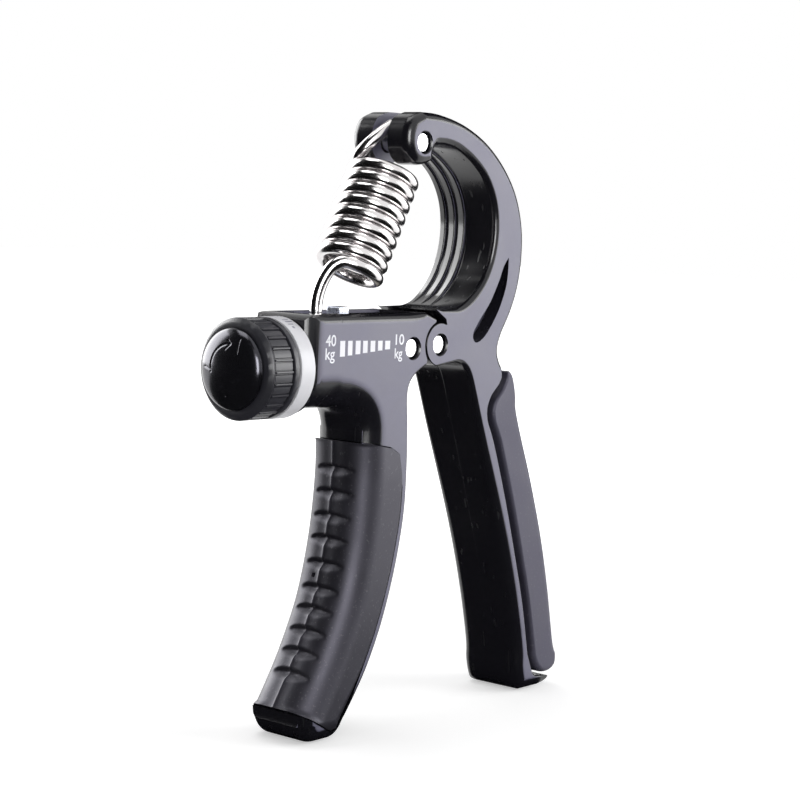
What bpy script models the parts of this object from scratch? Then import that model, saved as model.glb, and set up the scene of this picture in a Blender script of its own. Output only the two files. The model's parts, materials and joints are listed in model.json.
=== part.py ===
"""Adjustable hand gripper: a C-shaped frame with a palm leg, a finger handle that
swings on a pin, and a tension spring whose lower end is set by a screw and a nut.

Everything is drawn about the pivot pin: x runs from the knob to the palm, y into the
back, z up. The pivot stands PIVOT_HEIGHT above the surface the two feet rest on.
"""

import math

import bmesh
import bpy
from mathutils import Vector

MM = 0.001

# Overall
PIVOT_X = 5.45 * MM
PIVOT_HEIGHT = 96.0 * MM
BODY_HALF = 9.8 * MM
ARM_END = -48.4 * MM
GAP = 0.3 * MM

# The lines below draw the legs for a pivot at this height; under LEG_TOP they stretch with it
LEG_DRAWN = 96.0 * MM
LEG_TOP = -28.0 * MM

# How finely things are drawn
ROUND_SIDES = 32
RING_SIDES = 48
CAP_SIDES = 40
CAP_STEPS = 7
SCREW_SIDES = 24
HOOK_PIN_SIDES = 20
OVERRUN = 1.0 * MM
NEAR_POINT = 0.15 * MM
MERGE_WITHIN = 0.01 * MM
LEAST_EDGE_SHARE = 0.15
FOLD_REACH = 8
FOLD_TRIES = 60
FOLD_SHRINK = 0.85

# Pivot: two ears of the frame, the tongue of the handle between them
LUG_RADIUS = 5.5 * MM
TONGUE_RADIUS = 5.6 * MM
TONGUE_HALF = 4.2 * MM
WASHER_THICK = 0.6 * MM
WASHER_RADIUS = 5.0 * MM
PIN_RADIUS = 2.35 * MM
PIN_CLEARANCE = 0.35 * MM
PIN_RECESS = 0.85 * MM
BUSH_WALL = 0.85 * MM
EAR_ARC = (66, 262, 14)
TONGUE_ARC = (219, 108, 9)
WEB_X = (-9.0 * MM, -2.5 * MM)
WEB_Z = (-3.9 * MM, 4.6 * MM)

# Spring and the two pins that it hangs on
TIP_PIN = (-9.0 * MM, 50.4 * MM)
HOOK_PIN = (ARM_END + 16.1 * MM, 4.6 * MM)
HOOK_PIN_RADIUS = 1.2 * MM
WIRE_RADIUS = 1.4 * MM
COIL_RADIUS = 7.6 * MM
COIL_GAP = 0.5 * MM
COIL_PITCH = 2 * WIRE_RADIUS + COIL_GAP
COIL_TURNS = 9
COIL_TOP_SPACE = 7.19 * MM
COIL_POINTS = 9
COIL_LEAVES = math.radians(40)
WIRE_SEAT = 0.6 * MM
HOOK_SEAT = HOOK_PIN_RADIUS + WIRE_RADIUS + WIRE_SEAT
HOOK_REACH = HOOK_PIN_RADIUS + WIRE_RADIUS + 1.25 * MM
HOOK_ANGLES = (-50, -70, -90, -110, -130, -155, 180)
HOOK_RISE = 4.5 * MM
HOOK_LEAN = 0.1 * MM
HOOK_LEAVES = Vector((-0.05, 0.0, 1.0))
TIP_SEAT = PIN_RADIUS + WIRE_RADIUS + WIRE_SEAT
TIP_REACH = PIN_RADIUS + WIRE_RADIUS + 1.45 * MM
TIP_ANGLES = (130, 110, 90, 70, 50, 30, 10, -10)
TIP_SLOT_HALF = WIRE_RADIUS + 1.2 * MM
TIP_SLOT_X = (-20.0 * MM, -2.0 * MM)
TIP_SLOT_Z = (40.0 * MM, 62.0 * MM)

# Arm, screw and knob, along the screw's axis
SCREW_DROP = 4.8 * MM
ARM_TOP = 8.2 * MM
ARM_UNDER = -15.0 * MM
ARM_ROUND = 9.0 * MM
ARM_SPARE = 12.0 * MM
ARM_CORNER = (-1.7 * MM, 6.6 * MM)
ARM_TOP_START = -5.4 * MM
ARM_MIDDLE = -24.0 * MM
ARM_HEEL = -40.0 * MM
END_WALL = 3.9 * MM
CAVITY_HALF = 5.2 * MM
CAVITY_LEFT = ARM_END + END_WALL
CAVITY_RIGHT = -6.8 * MM
CAVITY_FLOOR = -10.9 * MM
CAVITY_STEP = -13.0 * MM
CAVITY_SHELF = -4.9 * MM
END_FLANGE_RADIUS = 11.6 * MM
END_FLANGE_THICK = 1.5 * MM
END_FLANGE_SHY = 0.02 * MM
SPIGOT_RADIUS = 7.7 * MM
SPIGOT_LENGTH = 4.2 * MM
RING_RADIUS = 12.2 * MM
RING_WIDTH = 4.7 * MM
SCREW_RADIUS = 2.9 * MM
THREAD_CLEARANCE = 0.35 * MM
JOURNAL_RADIUS = 1.9 * MM
BUSH_RADIUS = 5.0 * MM
BUSH_FLANGE_RADIUS = 6.6 * MM
BUSH_FLANGE_THICK = 1.0 * MM
THRUST_RADIUS = 6.8 * MM
THRUST_THICK = 1.0 * MM
CLIP_RADIUS = 4.8 * MM
CLIP_THICK = 1.0 * MM
HEAD_ACROSS = 10.0 * MM
HEAD_HEIGHT = 4.0 * MM
KNOB_RADIUS = 12.1 * MM
KNOB_LENGTH = 9.7 * MM
KNOB_FLANGE = 1.6 * MM
KNOB_LAND = 0.4 * MM
KNOB_NOSE_RADIUS = 10.5 * MM
KNURL_LENGTH = 6.0 * MM
KNURL_DEPTH = 0.7 * MM
KNURL_TEETH = 26
KNURL_GROOVE = 0.3 * MM
KNOB_WEB = 2.0 * MM
CAP_RADIUS = 9.7 * MM
CAP_RISE = 3.6 * MM
CAP_SKIRT_RADIUS = 8.8 * MM
CAP_SKIRT = 1.4 * MM

# Nut and the block that carries the screw's inner end
NUT_LEFT = HOOK_PIN[0] - 4.5 * MM
NUT_LENGTH = 11.6 * MM
NUT_BOTTOM = CAVITY_FLOOR + GAP
NUT_TOP = 5.9 * MM
NUT_LUG_ROOT = 1.0 * MM
NUT_LUG_TOP = 9.5 * MM
NUT_LUG_HALF = 2.3 * MM
NUT_LUG = (HOOK_PIN[0] + 2.2 * MM, HOOK_PIN[0] + 5.7 * MM)
HOOK_SLOT_HALF = WIRE_RADIUS + 0.7 * MM
HOOK_END_DROP = 0.6 * MM
BLOCK_LENGTH = 9.5 * MM
BLOCK_TOP = 5.0 * MM
CROSS_PIN = (-10.6 * MM, -0.65 * MM)
JOURNAL_SEAT = 3.0 * MM

# Grips
SLEEVE_HALF = BODY_HALF + 0.6 * MM
SLEEVE_ROUND = 8.0 * MM
SLEEVE_CORE_HALF = 7.0 * MM
SLEEVE_WALL = 2.8 * MM
SLEEVE_PROUD = 1.0 * MM
SLEEVE_SPARE = 6.0 * MM
STRIP_WIDTH = 1.8 * MM
FINGER_CORE_ROOT = 3.5 * MM
PAD_HALF = BODY_HALF + 0.2 * MM
PAD_CORE_HALF = 5.5 * MM
PAD_CORE_REACH = 6.5 * MM
PAD_CORE_ROOT = 2.2 * MM
PAD_CORE_RUN = 3.0 * MM
PAD_GROOVE = 2.0 * MM
TEARDROP_DEPTH = 4.0 * MM

# How far the long edges are rounded
C_EDGE = 2.0 * MM
TIP_EDGE = 1.6 * MM
THROAT_EDGE = 0.3 * MM
EAR_EDGE = 0.5 * MM
LEG_EDGE = 1.5 * MM
SOLE_EDGE = 1.2 * MM
SEAM_EDGE = 0.8 * MM
PAD_SEAM_EDGE = 0.9 * MM
PAD_FOOT_EDGE = 1.5 * MM
PAD_BACK_EDGE = 3.4 * MM
PAD_TOP_EDGE = 1.0 * MM
ARM_TOP_EDGE = 1.0 * MM
ARM_SHOULDER_EDGE = 1.8 * MM
TONGUE_EDGE = 0.6 * MM
INNER_EDGE = 0.9 * MM
STRIP_EDGE = 1.0 * MM

PIVOT = Vector((PIVOT_X, 0.0, PIVOT_HEIGHT))
SCREW_LINE = Vector((PIVOT_X, 0.0, PIVOT_HEIGHT - SCREW_DROP))


def clear_scene():
    for obj in list(bpy.data.objects):
        bpy.data.objects.remove(obj, do_unlink=True)


def new_collection(name):
    made = bpy.data.collections.new(name)
    bpy.context.scene.collection.children.link(made)
    return made


def material(name, colour, metallic, roughness):
    made = bpy.data.materials.new(name)
    made.use_nodes = True
    shader = made.node_tree.nodes["Principled BSDF"]
    shader.inputs["Base Color"].default_value = (*colour, 1.0)
    shader.inputs["Metallic"].default_value = metallic
    shader.inputs["Roughness"].default_value = roughness
    return made


clear_scene()
PARTS = new_collection("hand_gripper")
CUTTERS = new_collection("cutters")
BLACK_PLASTIC = material("black_plastic", (0.02, 0.02, 0.024), 0.0, 0.35)
GLOSS_PLASTIC = material("gloss_plastic", (0.012, 0.012, 0.014), 0.0, 0.08)
WHITE_PLASTIC = material("white_plastic", (0.85, 0.85, 0.86), 0.0, 0.4)
RUBBER = material("rubber", (0.035, 0.035, 0.04), 0.0, 0.7)
STEEL = material("steel", (0.75, 0.75, 0.76), 1.0, 0.2)
CHROME = material("chrome", (0.85, 0.85, 0.86), 1.0, 0.06)
ZINC = material("zinc", (0.7, 0.72, 0.76), 1.0, 0.3)
NYLON = material("nylon", (0.6, 0.58, 0.52), 0.0, 0.5)


# Outlines

def smooth(points, steps=4):
    """An open line of few points, rounded by a curve that passes through all of them."""
    line = []
    for i in range(len(points) - 1):
        before = points[max(i - 1, 0)]
        a, b = points[i], points[i + 1]
        after = points[min(i + 2, len(points) - 1)]
        for k in range(steps):
            t = k / steps
            line.append(tuple(
                0.5 * (2 * q + (r - p) * t + (2 * p - 5 * q + 4 * r - s) * t * t
                       + (3 * q - p - 3 * r + s) * t ** 3)
                for p, q, r, s in zip(before, a, b, after)
            ))
    return line + [tuple(points[-1])]


def arc(x, z, radius, start, end, steps):
    """Points on a circle, from one angle to another in degrees."""
    angles = [math.radians(start + (end - start) * k / steps) for k in range(steps + 1)]
    return [(x + radius * math.cos(a), z + radius * math.sin(a)) for a in angles]


def in_metres(points):
    """A drawn line in metres, its legs as long as the pivot is high."""
    stretch = (PIVOT_HEIGHT + LEG_TOP) / (LEG_DRAWN + LEG_TOP)
    line = []
    for x, z in points:
        below = min(z * MM - LEG_TOP, 0.0)
        line.append((x * MM, z * MM + below * (stretch - 1)))
    return line


def moved(line, distance):
    """An open line shifted to its left-hand side."""
    shifted = []
    for i, (x, z) in enumerate(line):
        ahead = line[min(i + 1, len(line) - 1)]
        behind = line[max(i - 1, 0)]
        along = Vector((ahead[0] - behind[0], ahead[1] - behind[1])).normalized()
        shifted.append((x - along.y * distance, z + along.x * distance))
    return shifted


def lengthened(line, amount):
    """An open line with both ends carried on in their own direction."""
    if not amount:
        return line
    first, second = Vector(line[0]), Vector(line[1])
    last, before = Vector(line[-1]), Vector(line[-2])
    start = first + (first - second).normalized() * amount
    end = last + (last - before).normalized() * amount
    return [tuple(start), *line, tuple(end)]


def joined(runs):
    """One closed outline from runs of points, with an edge radius for each point."""
    outline, radii = [], []
    for points, radius in runs:
        for point in points:
            near = outline and math.dist(point, outline[-1]) < NEAR_POINT
            if not near:
                outline.append(point)
                radii.append(radius)
    if math.dist(outline[0], outline[-1]) < NEAR_POINT:
        outline.pop()
        radii.pop()
    for _ in range(2):
        count = len(radii)
        radii = [(radii[i - 1] + 2 * radii[i] + radii[(i + 1) % count]) / 4 for i in range(count)]
    return outline, radii


# Solids

def add_object(name, mesh, colour, place, collection):
    obj = bpy.data.objects.new(name, mesh)
    obj.location = place
    collection.objects.link(obj)
    if colour:
        mesh.materials.append(colour)
    if collection is CUTTERS:
        obj.hide_render = True
        obj.display_type = "WIRE"
    return obj


def from_bmesh(name, bm, colour, place, collection):
    bm.normal_update()
    bmesh.ops.recalc_face_normals(bm, faces=bm.faces)
    mesh = bpy.data.meshes.new(name)
    bm.to_mesh(mesh)
    bm.free()
    mesh.shade_smooth()
    mesh.set_sharp_from_angle(angle=math.radians(35))
    return add_object(name, mesh, colour, place, collection)


def crossing(a, b, c, d):
    """Whether the stretches a to b and c to d cross."""
    def side(p, q, r):
        return (q[0] - p[0]) * (r[1] - p[1]) - (q[1] - p[1]) * (r[0] - p[0])
    return side(a, b, c) * side(a, b, d) < 0 and side(c, d, a) * side(c, d, b) < 0


def unfolded(outline, inward, radii):
    """Edge radii made smaller wherever drawing the outline in by them would fold it."""
    radii = list(radii)
    count = len(outline)
    for _ in range(FOLD_TRIES):
        drawn = [(x + nx * r, z + nz * r) for (x, z), (nx, nz), r in zip(outline, inward, radii)]
        shrink = set()
        for i in range(count):
            j = (i + 1) % count
            edge = Vector(outline[j]) - Vector(outline[i])
            if (Vector(drawn[j]) - Vector(drawn[i])).dot(edge) < LEAST_EDGE_SHARE * edge.length_squared:
                shrink |= {i, j}
            for k in range(i + 2, count - (i == 0)):
                m = (k + 1) % count
                if crossing(drawn[i], drawn[j], drawn[k], drawn[m]):
                    near = k - i < FOLD_REACH
                    shrink |= set(range(i, k + 2)) if near else {i, j, k, m}
        if not shrink:
            break
        for i in shrink:
            radii[i % count] *= FOLD_SHRINK
    return radii


def plate(name, outline, radii, half, colour=None, place=PIVOT, collection=None, steps=3):
    """A plate across y whose long edges are rounded by each point's own radius.

    The outline runs anticlockwise in x and z. Each ring is the outline drawn in by the
    amount that a quarter circle has turned, so the plate is a loft between unlike rings.
    Without radii its edges are square.
    """
    count = len(outline)
    inward = []
    for i in range(count):
        behind, ahead = outline[i - 1], outline[(i + 1) % count]
        along = Vector((ahead[0] - behind[0], ahead[1] - behind[1])).normalized()
        inward.append((-along.y, along.x))
    bm = bmesh.new()
    turns = [math.pi / 2 * k / steps for k in range(steps + 1)] if radii else [0.0]
    radii = unfolded(outline, inward, radii) if radii else [0.0] * count
    levels = [(-1, t) for t in reversed(turns)] + [(1, t) for t in turns]
    rings = []
    for side, turn in levels:
        ring = []
        for (x, z), (nx, nz), radius in zip(outline, inward, radii):
            drawn = radius * (1 - math.cos(turn))
            y = side * (half - radius + radius * math.sin(turn))
            ring.append(bm.verts.new((x + nx * drawn, y, z + nz * drawn)))
        rings.append(ring)
    for low, high in zip(rings, rings[1:]):
        for i in range(count):
            j = (i + 1) % count
            bm.faces.new((low[i], low[j], high[j], high[i]))
    bm.faces.new(rings[0])
    bm.faces.new(rings[-1])
    return from_bmesh(name, bm, colour, place, collection or PARTS)


def box(name, low, high, colour=None, place=PIVOT, collection=None):
    bm = bmesh.new()
    bmesh.ops.create_cube(bm, size=1.0)
    for vert in bm.verts:
        for k in range(3):
            vert.co[k] = low[k] if vert.co[k] < 0 else high[k]
    return from_bmesh(name, bm, colour, place, collection or CUTTERS)


def bar_across(name, x, z, radius, half, colour=None, collection=None, sides=ROUND_SIDES):
    """A round bar along y."""
    bm = bmesh.new()
    bmesh.ops.create_cone(bm, cap_ends=True, segments=sides, radius1=radius, radius2=radius, depth=2 * half)
    for vert in bm.verts:
        vert.co = (x + vert.co.x, vert.co.z, z + vert.co.y)
    return from_bmesh(name, bm, colour, PIVOT, collection or CUTTERS)


def bar_along(name, radius, start, end, sides=ROUND_SIDES):
    """A round or six-sided bar on the screw's axis."""
    bm = bmesh.new()
    bmesh.ops.create_cone(bm, cap_ends=True, segments=sides, radius1=radius, radius2=radius, depth=end - start)
    middle = (start + end) / 2
    for vert in bm.verts:
        vert.co = (middle + vert.co.z, vert.co.x, vert.co.y)
    return from_bmesh(name, bm, None, SCREW_LINE, CUTTERS)


def turned(name, profile, colour, closed=True, sides=ROUND_SIDES):
    """A turned piece on the screw's axis. The profile is (place along x, radius)."""
    mesh = bpy.data.meshes.new(name)
    count = len(profile)
    ends = [(i, (i + 1) % count) for i in range(count if closed else count - 1)]
    mesh.from_pydata([(radius, 0.0, along) for along, radius in profile], ends, [])
    obj = add_object(name, mesh, colour, SCREW_LINE, PARTS)
    obj.rotation_euler = (0.0, math.pi / 2, 0.0)
    screw = obj.modifiers.new("turn", "SCREW")
    screw.axis = "Z"
    screw.steps = sides
    screw.render_steps = sides
    screw.use_merge_vertices = True
    screw.merge_threshold = MERGE_WITHIN
    screw.use_smooth_shade = True
    return obj


def washer_across(name, x, z, bore, radius, low, high, colour):
    """A flat ring or sleeve round an axis along y."""
    bm = bmesh.new()
    rings = []
    for y, r in ((low, bore), (low, radius), (high, radius), (high, bore)):
        ring = []
        for k in range(ROUND_SIDES):
            a = 2 * math.pi * k / ROUND_SIDES
            ring.append(bm.verts.new((x + r * math.cos(a), y, z + r * math.sin(a))))
        rings.append(ring)
    for first, second in zip(rings, rings[1:] + rings[:1]):
        for k in range(ROUND_SIDES):
            n = (k + 1) % ROUND_SIDES
            bm.faces.new((first[k], first[n], second[n], second[k]))
    return from_bmesh(name, bm, colour, PIVOT, PARTS)


def boolean(target, tool, operation):
    made = target.modifiers.new(tool.name, "BOOLEAN")
    made.operation = operation
    made.object = tool


def cut(target, *tools):
    for tool in tools:
        boolean(target, tool, "DIFFERENCE")


def join(target, *tools):
    for tool in tools:
        boolean(target, tool, "UNION")


# Lines that several pieces share, in millimetres about the pivot

C_OUTER = [(26.2, -6.2), (24.7, -2.4), (25.8, 1.6), (29.4, 7.4), (32.1, 13.7), (33.5, 21.2), (33.2, 29.8),
           (30.2, 38.4), (24.6, 45.6), (16.8, 51.6), (7.6, 55.6), (-2.0, 57.7), (-9.0, 57.9)]
TIP_END = [(-9.0, 57.9), (-13.2, 56.2), (-15.1, 52.4), (-14.6, 48.2), (-12.3, 45.6), (-9.0, 44.8),
           (-5.8, 45.8), (-4.4, 48.2), (-3.6, 49.9)]
C_INNER = [(-3.6, 49.9), (0.0, 50.2), (5.0, 49.4), (11.0, 46.5), (16.3, 42.2), (19.9, 36.2), (21.0, 29.5),
           (20.0, 22.6), (17.0, 16.4), (12.2, 11.6), (6.6, 9.1), (0.6, 8.8)]
THROAT = [(0.6, 8.8), (-2.4, 8.7), (1.7, 6.3)]
PALM_INNER = [(6.2, -4.7), (9.6, -5.4), (12.2, -7.8), (14.6, -13.2), (18.9, -25.0), (25.4, -42.5),
              (30.3, -56.5), (34.6, -70.5), (37.9, -84.0), (38.4, -89.5), (39.6, -93.6), (41.6, -95.6)]
PALM_TOE = [(51.8, -94.6), (52.6, -93.2), (49.8, -92.7), (47.2, -92.2), (45.6, -91.0)]
PALM_SEAM = [(43.2, -85.6), (39.9, -71.4), (35.5, -57.3), (30.3, -41.9), (24.4, -26.6), (21.3, -20.6)]
PALM_SHOULDER = [(21.3, -20.6), (20.9, -17.4), (22.3, -14.2), (25.3, -11.4), (26.6, -9.0), (26.2, -6.2)]
PAD_SHOULDER = [(28.2, -8.0), (28.2, -9.8), (26.6, -12.6), (23.9, -15.4), (22.9, -18.2), (23.5, -21.0)]
PAD_FOOT = [(45.2, -86.6), (47.0, -90.0), (49.6, -91.8), (53.4, -92.0), (56.0, -90.4), (56.6, -87.0)]
PAD_OUTER = [(56.6, -87.0), (55.0, -79.6), (52.3, -67.6), (48.3, -53.4), (42.6, -37.7), (36.9, -24.2),
             (33.6, -15.6), (31.2, -9.6), (29.4, -7.8), (28.2, -8.0)]
PAD_BACK_LAST = 6
FINGER_INNER = [(-4.9, -4.9), (-9.3, -7.4), (-11.3, -9.9), (-11.8, -13.2), (-11.3, -20.0), (-11.0, -29.4),
                (-11.3, -40.0), (-12.7, -49.0), (-15.1, -58.7), (-18.7, -69.2), (-23.1, -78.6), (-27.6, -87.0),
                (-30.4, -92.0), (-32.6, -94.9), (-34.8, -96.0)]
STRIP_FROM, STRIP_TO = 5, 13
CORE_FROM, CORE_TO = 4, 13
FINGER_OUTER = [(-28.4, -24.2), (-28.3, -32.0), (-29.2, -42.7), (-30.8, -52.2), (-33.5, -62.4),
                (-37.2, -71.0), (-41.2, -78.6), (-46.4, -87.0)]
SLEEVE_HEAD = [(-60.0, -24.0), (-27.6, -24.0), (-22.8, -24.7), (-18.0, -25.6), (-14.9, -27.2)]
SLEEVE_FOOT = [(-33.4, -92.6), (-35.2, -93.6), (-37.4, -93.2), (-44.2, -89.4), (-47.0, -87.9), (-60.0, -80.9)]
FINGER_TOE = [(-45.4, -88.6), (-45.4, -91.2), (-43.8, -94.2), (-41.2, -96.0)]
TEARDROP = [(26.9, 22.3), (25.0, 20.1), (22.9, 15.8), (19.7, 10.6), (15.8, 6.3), (13.2, 2.8), (13.6, 0.6),
            (15.6, 0.4), (18.9, 2.6), (23.4, 8.4), (26.4, 15.3), (26.9, 22.3)]
PALM_SOLE = [(42.6, -96.0), (49.6, -96.0)]
NECK_X = -27.2 * MM
NECK_CORNER = 6.0 * MM
NECK_ARC = (90, 0, 5)
NECK_ROUND = 7.5 * MM
TOE_ROUND = 6.0 * MM


# Frame

def frame_outline():
    return joined([
        (in_metres(smooth(C_OUTER, 3)), C_EDGE),
        (in_metres(smooth(TIP_END, 2)), TIP_EDGE),
        (in_metres(smooth(C_INNER, 3)[:-2]), TIP_EDGE),
        (in_metres(THROAT), THROAT_EDGE),
        (arc(0, 0, LUG_RADIUS, *EAR_ARC), EAR_EDGE),
        (in_metres(smooth(PALM_INNER, 3)), LEG_EDGE),
        (in_metres(PALM_SOLE), SOLE_EDGE),
        (in_metres(smooth(PALM_TOE, 2)), SEAM_EDGE),
        (in_metres(smooth(PALM_SEAM, 2)), SEAM_EDGE),
        (in_metres(smooth(PALM_SHOULDER, 2)), SEAM_EDGE),
    ])


def palm_core(name, grow):
    """The rib of the palm leg that the pad is pushed on to, or the channel for it."""
    seam = lengthened(in_metres(smooth(PALM_SEAM[:-1], 2)), PAD_CORE_RUN + grow)
    rib = moved(seam, -PAD_CORE_REACH - grow) + list(reversed(moved(seam, PAD_CORE_ROOT)))
    return plate(name, rib, None, PAD_CORE_HALF + grow, collection=CUTTERS)


def build_frame():
    outline, radii = frame_outline()
    frame = plate("c_frame", outline, radii, BODY_HALF, BLACK_PLASTIC)
    join(frame, palm_core("palm_rib", 0.0))
    ear_inside = TONGUE_HALF + WASHER_THICK + 2 * GAP
    pocket = bar_across("tongue_pocket", 0, 0, TONGUE_RADIUS + GAP, ear_inside)
    slot = box("tip_slot", (TIP_SLOT_X[0], -TIP_SLOT_HALF, TIP_SLOT_Z[0]),
               (TIP_SLOT_X[1], TIP_SLOT_HALF, TIP_SLOT_Z[1]))
    hole = PIN_RADIUS + PIN_CLEARANCE
    pivot_hole = bar_across("pivot_hole", 0, 0, hole, 2 * BODY_HALF)
    tip_hole = bar_across("tip_hole", *TIP_PIN, hole, 2 * BODY_HALF)
    cut(frame, pocket, slot, pivot_hole, tip_hole)
    drop = in_metres(smooth(TEARDROP, 2)[:-1])
    for side in (-1, 1):
        middle = PIVOT + Vector((0, side * BODY_HALF, 0))
        cut(frame, plate(f"teardrop_{side}", drop, None, TEARDROP_DEPTH, None, middle, CUTTERS))
    return frame


def build_pad():
    seam = moved(in_metres(smooth(PALM_SEAM[:-1], 2)), -PAD_GROOVE)
    outline, radii = joined([
        (in_metres(smooth(PAD_SHOULDER, 2)), PAD_SEAM_EDGE),
        (list(reversed(seam)), PAD_SEAM_EDGE),
        (in_metres(smooth(PAD_FOOT, 2)), PAD_FOOT_EDGE),
        (in_metres(smooth(PAD_OUTER[:PAD_BACK_LAST + 1], 3)), PAD_BACK_EDGE),
        (in_metres(smooth(PAD_OUTER[PAD_BACK_LAST:], 2)), PAD_TOP_EDGE),
    ])
    pad = plate("palm_pad", outline, radii, PAD_HALF, RUBBER)
    cut(pad, palm_core("pad_channel", GAP))
    return pad


# Finger handle

def strip_line(width):
    """The line between the handle's bare inner edge and the sleeve, from the top down."""
    return moved(in_metres(smooth(FINGER_INNER[STRIP_FROM:STRIP_TO], 2)), -width)


def lever_outline():
    corner_x = NECK_X - NECK_CORNER
    corner_z = ARM_UNDER - NECK_CORNER
    inner = list(reversed(in_metres(smooth(FINGER_INNER, 2))))
    return joined([
        ([ARM_CORNER], TONGUE_EDGE),
        ([(ARM_TOP_START, ARM_TOP), (ARM_MIDDLE, ARM_TOP)], ARM_SHOULDER_EDGE),
        ([(ARM_END - ARM_SPARE, ARM_TOP)], ARM_TOP_EDGE),
        ([(ARM_END - ARM_SPARE, ARM_UNDER), (ARM_HEEL, ARM_UNDER)], ARM_ROUND),
        (arc(corner_x, corner_z, NECK_CORNER, *NECK_ARC), NECK_ROUND),
        (moved(in_metres(smooth(FINGER_OUTER[1:], 2)), SLEEVE_PROUD), NECK_ROUND),
        (in_metres(smooth(FINGER_TOE, 2)), TOE_ROUND),
        (inner, INNER_EDGE),
        (arc(0, 0, TONGUE_RADIUS + GAP, *TONGUE_ARC), TONGUE_EDGE),
    ])


def sleeve_space(name, clearance):
    """Everything the sleeve may fill, between its head, its foot and the bare strip."""
    foot = list(reversed(moved(in_metres(SLEEVE_FOOT), -clearance)))
    head = list(reversed(moved(in_metres(SLEEVE_HEAD), -clearance)))
    strip = list(reversed(strip_line(STRIP_WIDTH + clearance)[1:]))
    return plate(name, foot + strip + head, None, 2 * SLEEVE_HALF, collection=CUTTERS)


def finger_core(name, grow):
    """The tongue of plastic inside the sleeve, or the channel for it."""
    outer = moved(lengthened(in_metres(smooth(FINGER_OUTER, 2)), FINGER_CORE_ROOT + grow),
                  SLEEVE_WALL - grow)
    inner = moved(lengthened(in_metres(smooth(FINGER_INNER[CORE_FROM:CORE_TO], 2)), grow),
                  -STRIP_WIDTH / 2 + 3 * grow)
    return plate(name, outer + list(reversed(inner)), None, SLEEVE_CORE_HALF + grow, collection=CUTTERS)


def build_lever():
    outline, radii = lever_outline()
    lever = plate("finger_handle", outline, radii, BODY_HALF, BLACK_PLASTIC)
    cut(lever, sleeve_space("sleeve_cut", 0.0))
    cut(lever, box("arm_end_trim", (ARM_END - 2 * ARM_SPARE, -BODY_HALF * 2, ARM_UNDER * 2),
                   (ARM_END, BODY_HALF * 2, ARM_TOP * 2)))
    flange = bar_along("end_flange", END_FLANGE_RADIUS, ARM_END, ARM_END + END_FLANGE_THICK, RING_SIDES)
    trim = []
    for side in (-1, 1):
        near, far = sorted((side * (BODY_HALF - END_FLANGE_SHY), side * 2 * BODY_HALF))
        low = (ARM_END - ARM_SPARE, near, -SCREW_DROP - 2 * END_FLANGE_RADIUS)
        high = (ARM_END + ARM_SPARE, far, -SCREW_DROP + 2 * END_FLANGE_RADIUS)
        trim.append(box(f"flange_flat_{side}", low, high))
    cut(flange, *trim)
    spigot = bar_along("spigot", SPIGOT_RADIUS, ARM_END - SPIGOT_LENGTH, ARM_END + END_FLANGE_THICK)
    tongue = bar_across("tongue", 0, 0, TONGUE_RADIUS, TONGUE_HALF)
    web = box("tongue_web", (WEB_X[0], -TONGUE_HALF, WEB_Z[0]), (WEB_X[1], TONGUE_HALF, WEB_Z[1]))
    join(lever, flange, spigot, finger_core("finger_rib", 0.0), web, tongue)
    cavity = box("nut_cavity", (CAVITY_LEFT, -CAVITY_HALF, CAVITY_FLOOR),
                 (CAVITY_STEP, CAVITY_HALF, 2 * ARM_TOP))
    shelf = box("cavity_shelf", (CAVITY_STEP - OVERRUN, -CAVITY_HALF, CAVITY_SHELF),
                (CAVITY_RIGHT, CAVITY_HALF, 3 * ARM_TOP))
    bore = bar_along("bush_bore", BUSH_RADIUS + GAP, ARM_END - 2 * SPIGOT_LENGTH, CAVITY_LEFT + OVERRUN)
    bush_hole = bar_across("pivot_bush_hole", 0, 0, PIN_RADIUS + GAP + BUSH_WALL + GAP, 2 * TONGUE_HALF)
    cross_hole = bar_across("cross_hole", *CROSS_PIN, PIN_RADIUS + PIN_CLEARANCE, 2 * BODY_HALF)
    cut(lever, cavity, shelf, bore, bush_hole, cross_hole)
    return lever


def build_sleeve():
    outline, radii = joined([
        (lengthened(in_metres(smooth(FINGER_OUTER, 3)), SLEEVE_SPARE), SLEEVE_ROUND),
        (list(reversed(lengthened(strip_line(STRIP_WIDTH + GAP), SLEEVE_SPARE))), STRIP_EDGE),
    ])
    sleeve = plate("finger_sleeve", outline, radii, SLEEVE_HALF, RUBBER)
    boolean(sleeve, sleeve_space("sleeve_limits", GAP), "INTERSECT")
    cut(sleeve, finger_core("sleeve_channel", GAP))
    return sleeve


# Pins, washers and bushes

def build_pins():
    length = BODY_HALF - PIN_RECESS
    bar_across("pivot_pin", 0, 0, PIN_RADIUS, length, STEEL, PARTS)
    bar_across("cross_pin", *CROSS_PIN, PIN_RADIUS, length, STEEL, PARTS)
    bar_across("spring_pin", *TIP_PIN, PIN_RADIUS, length, STEEL, PARTS)
    bar_across("hook_pin", *HOOK_PIN, HOOK_PIN_RADIUS, CAVITY_HALF - 2 * GAP, STEEL, PARTS, HOOK_PIN_SIDES)


def build_pivot_rings():
    bore = PIN_RADIUS + GAP
    washer_across("pivot_bush", 0, 0, bore, bore + BUSH_WALL, -TONGUE_HALF, TONGUE_HALF, STEEL)
    near = TONGUE_HALF + GAP
    far = near + WASHER_THICK
    washer_across("pivot_washer_front", 0, 0, bore, WASHER_RADIUS, -far, -near, NYLON)
    washer_across("pivot_washer_rear", 0, 0, bore, WASHER_RADIUS, near, far, NYLON)


# Adjuster, from the arm's end outwards

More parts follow.
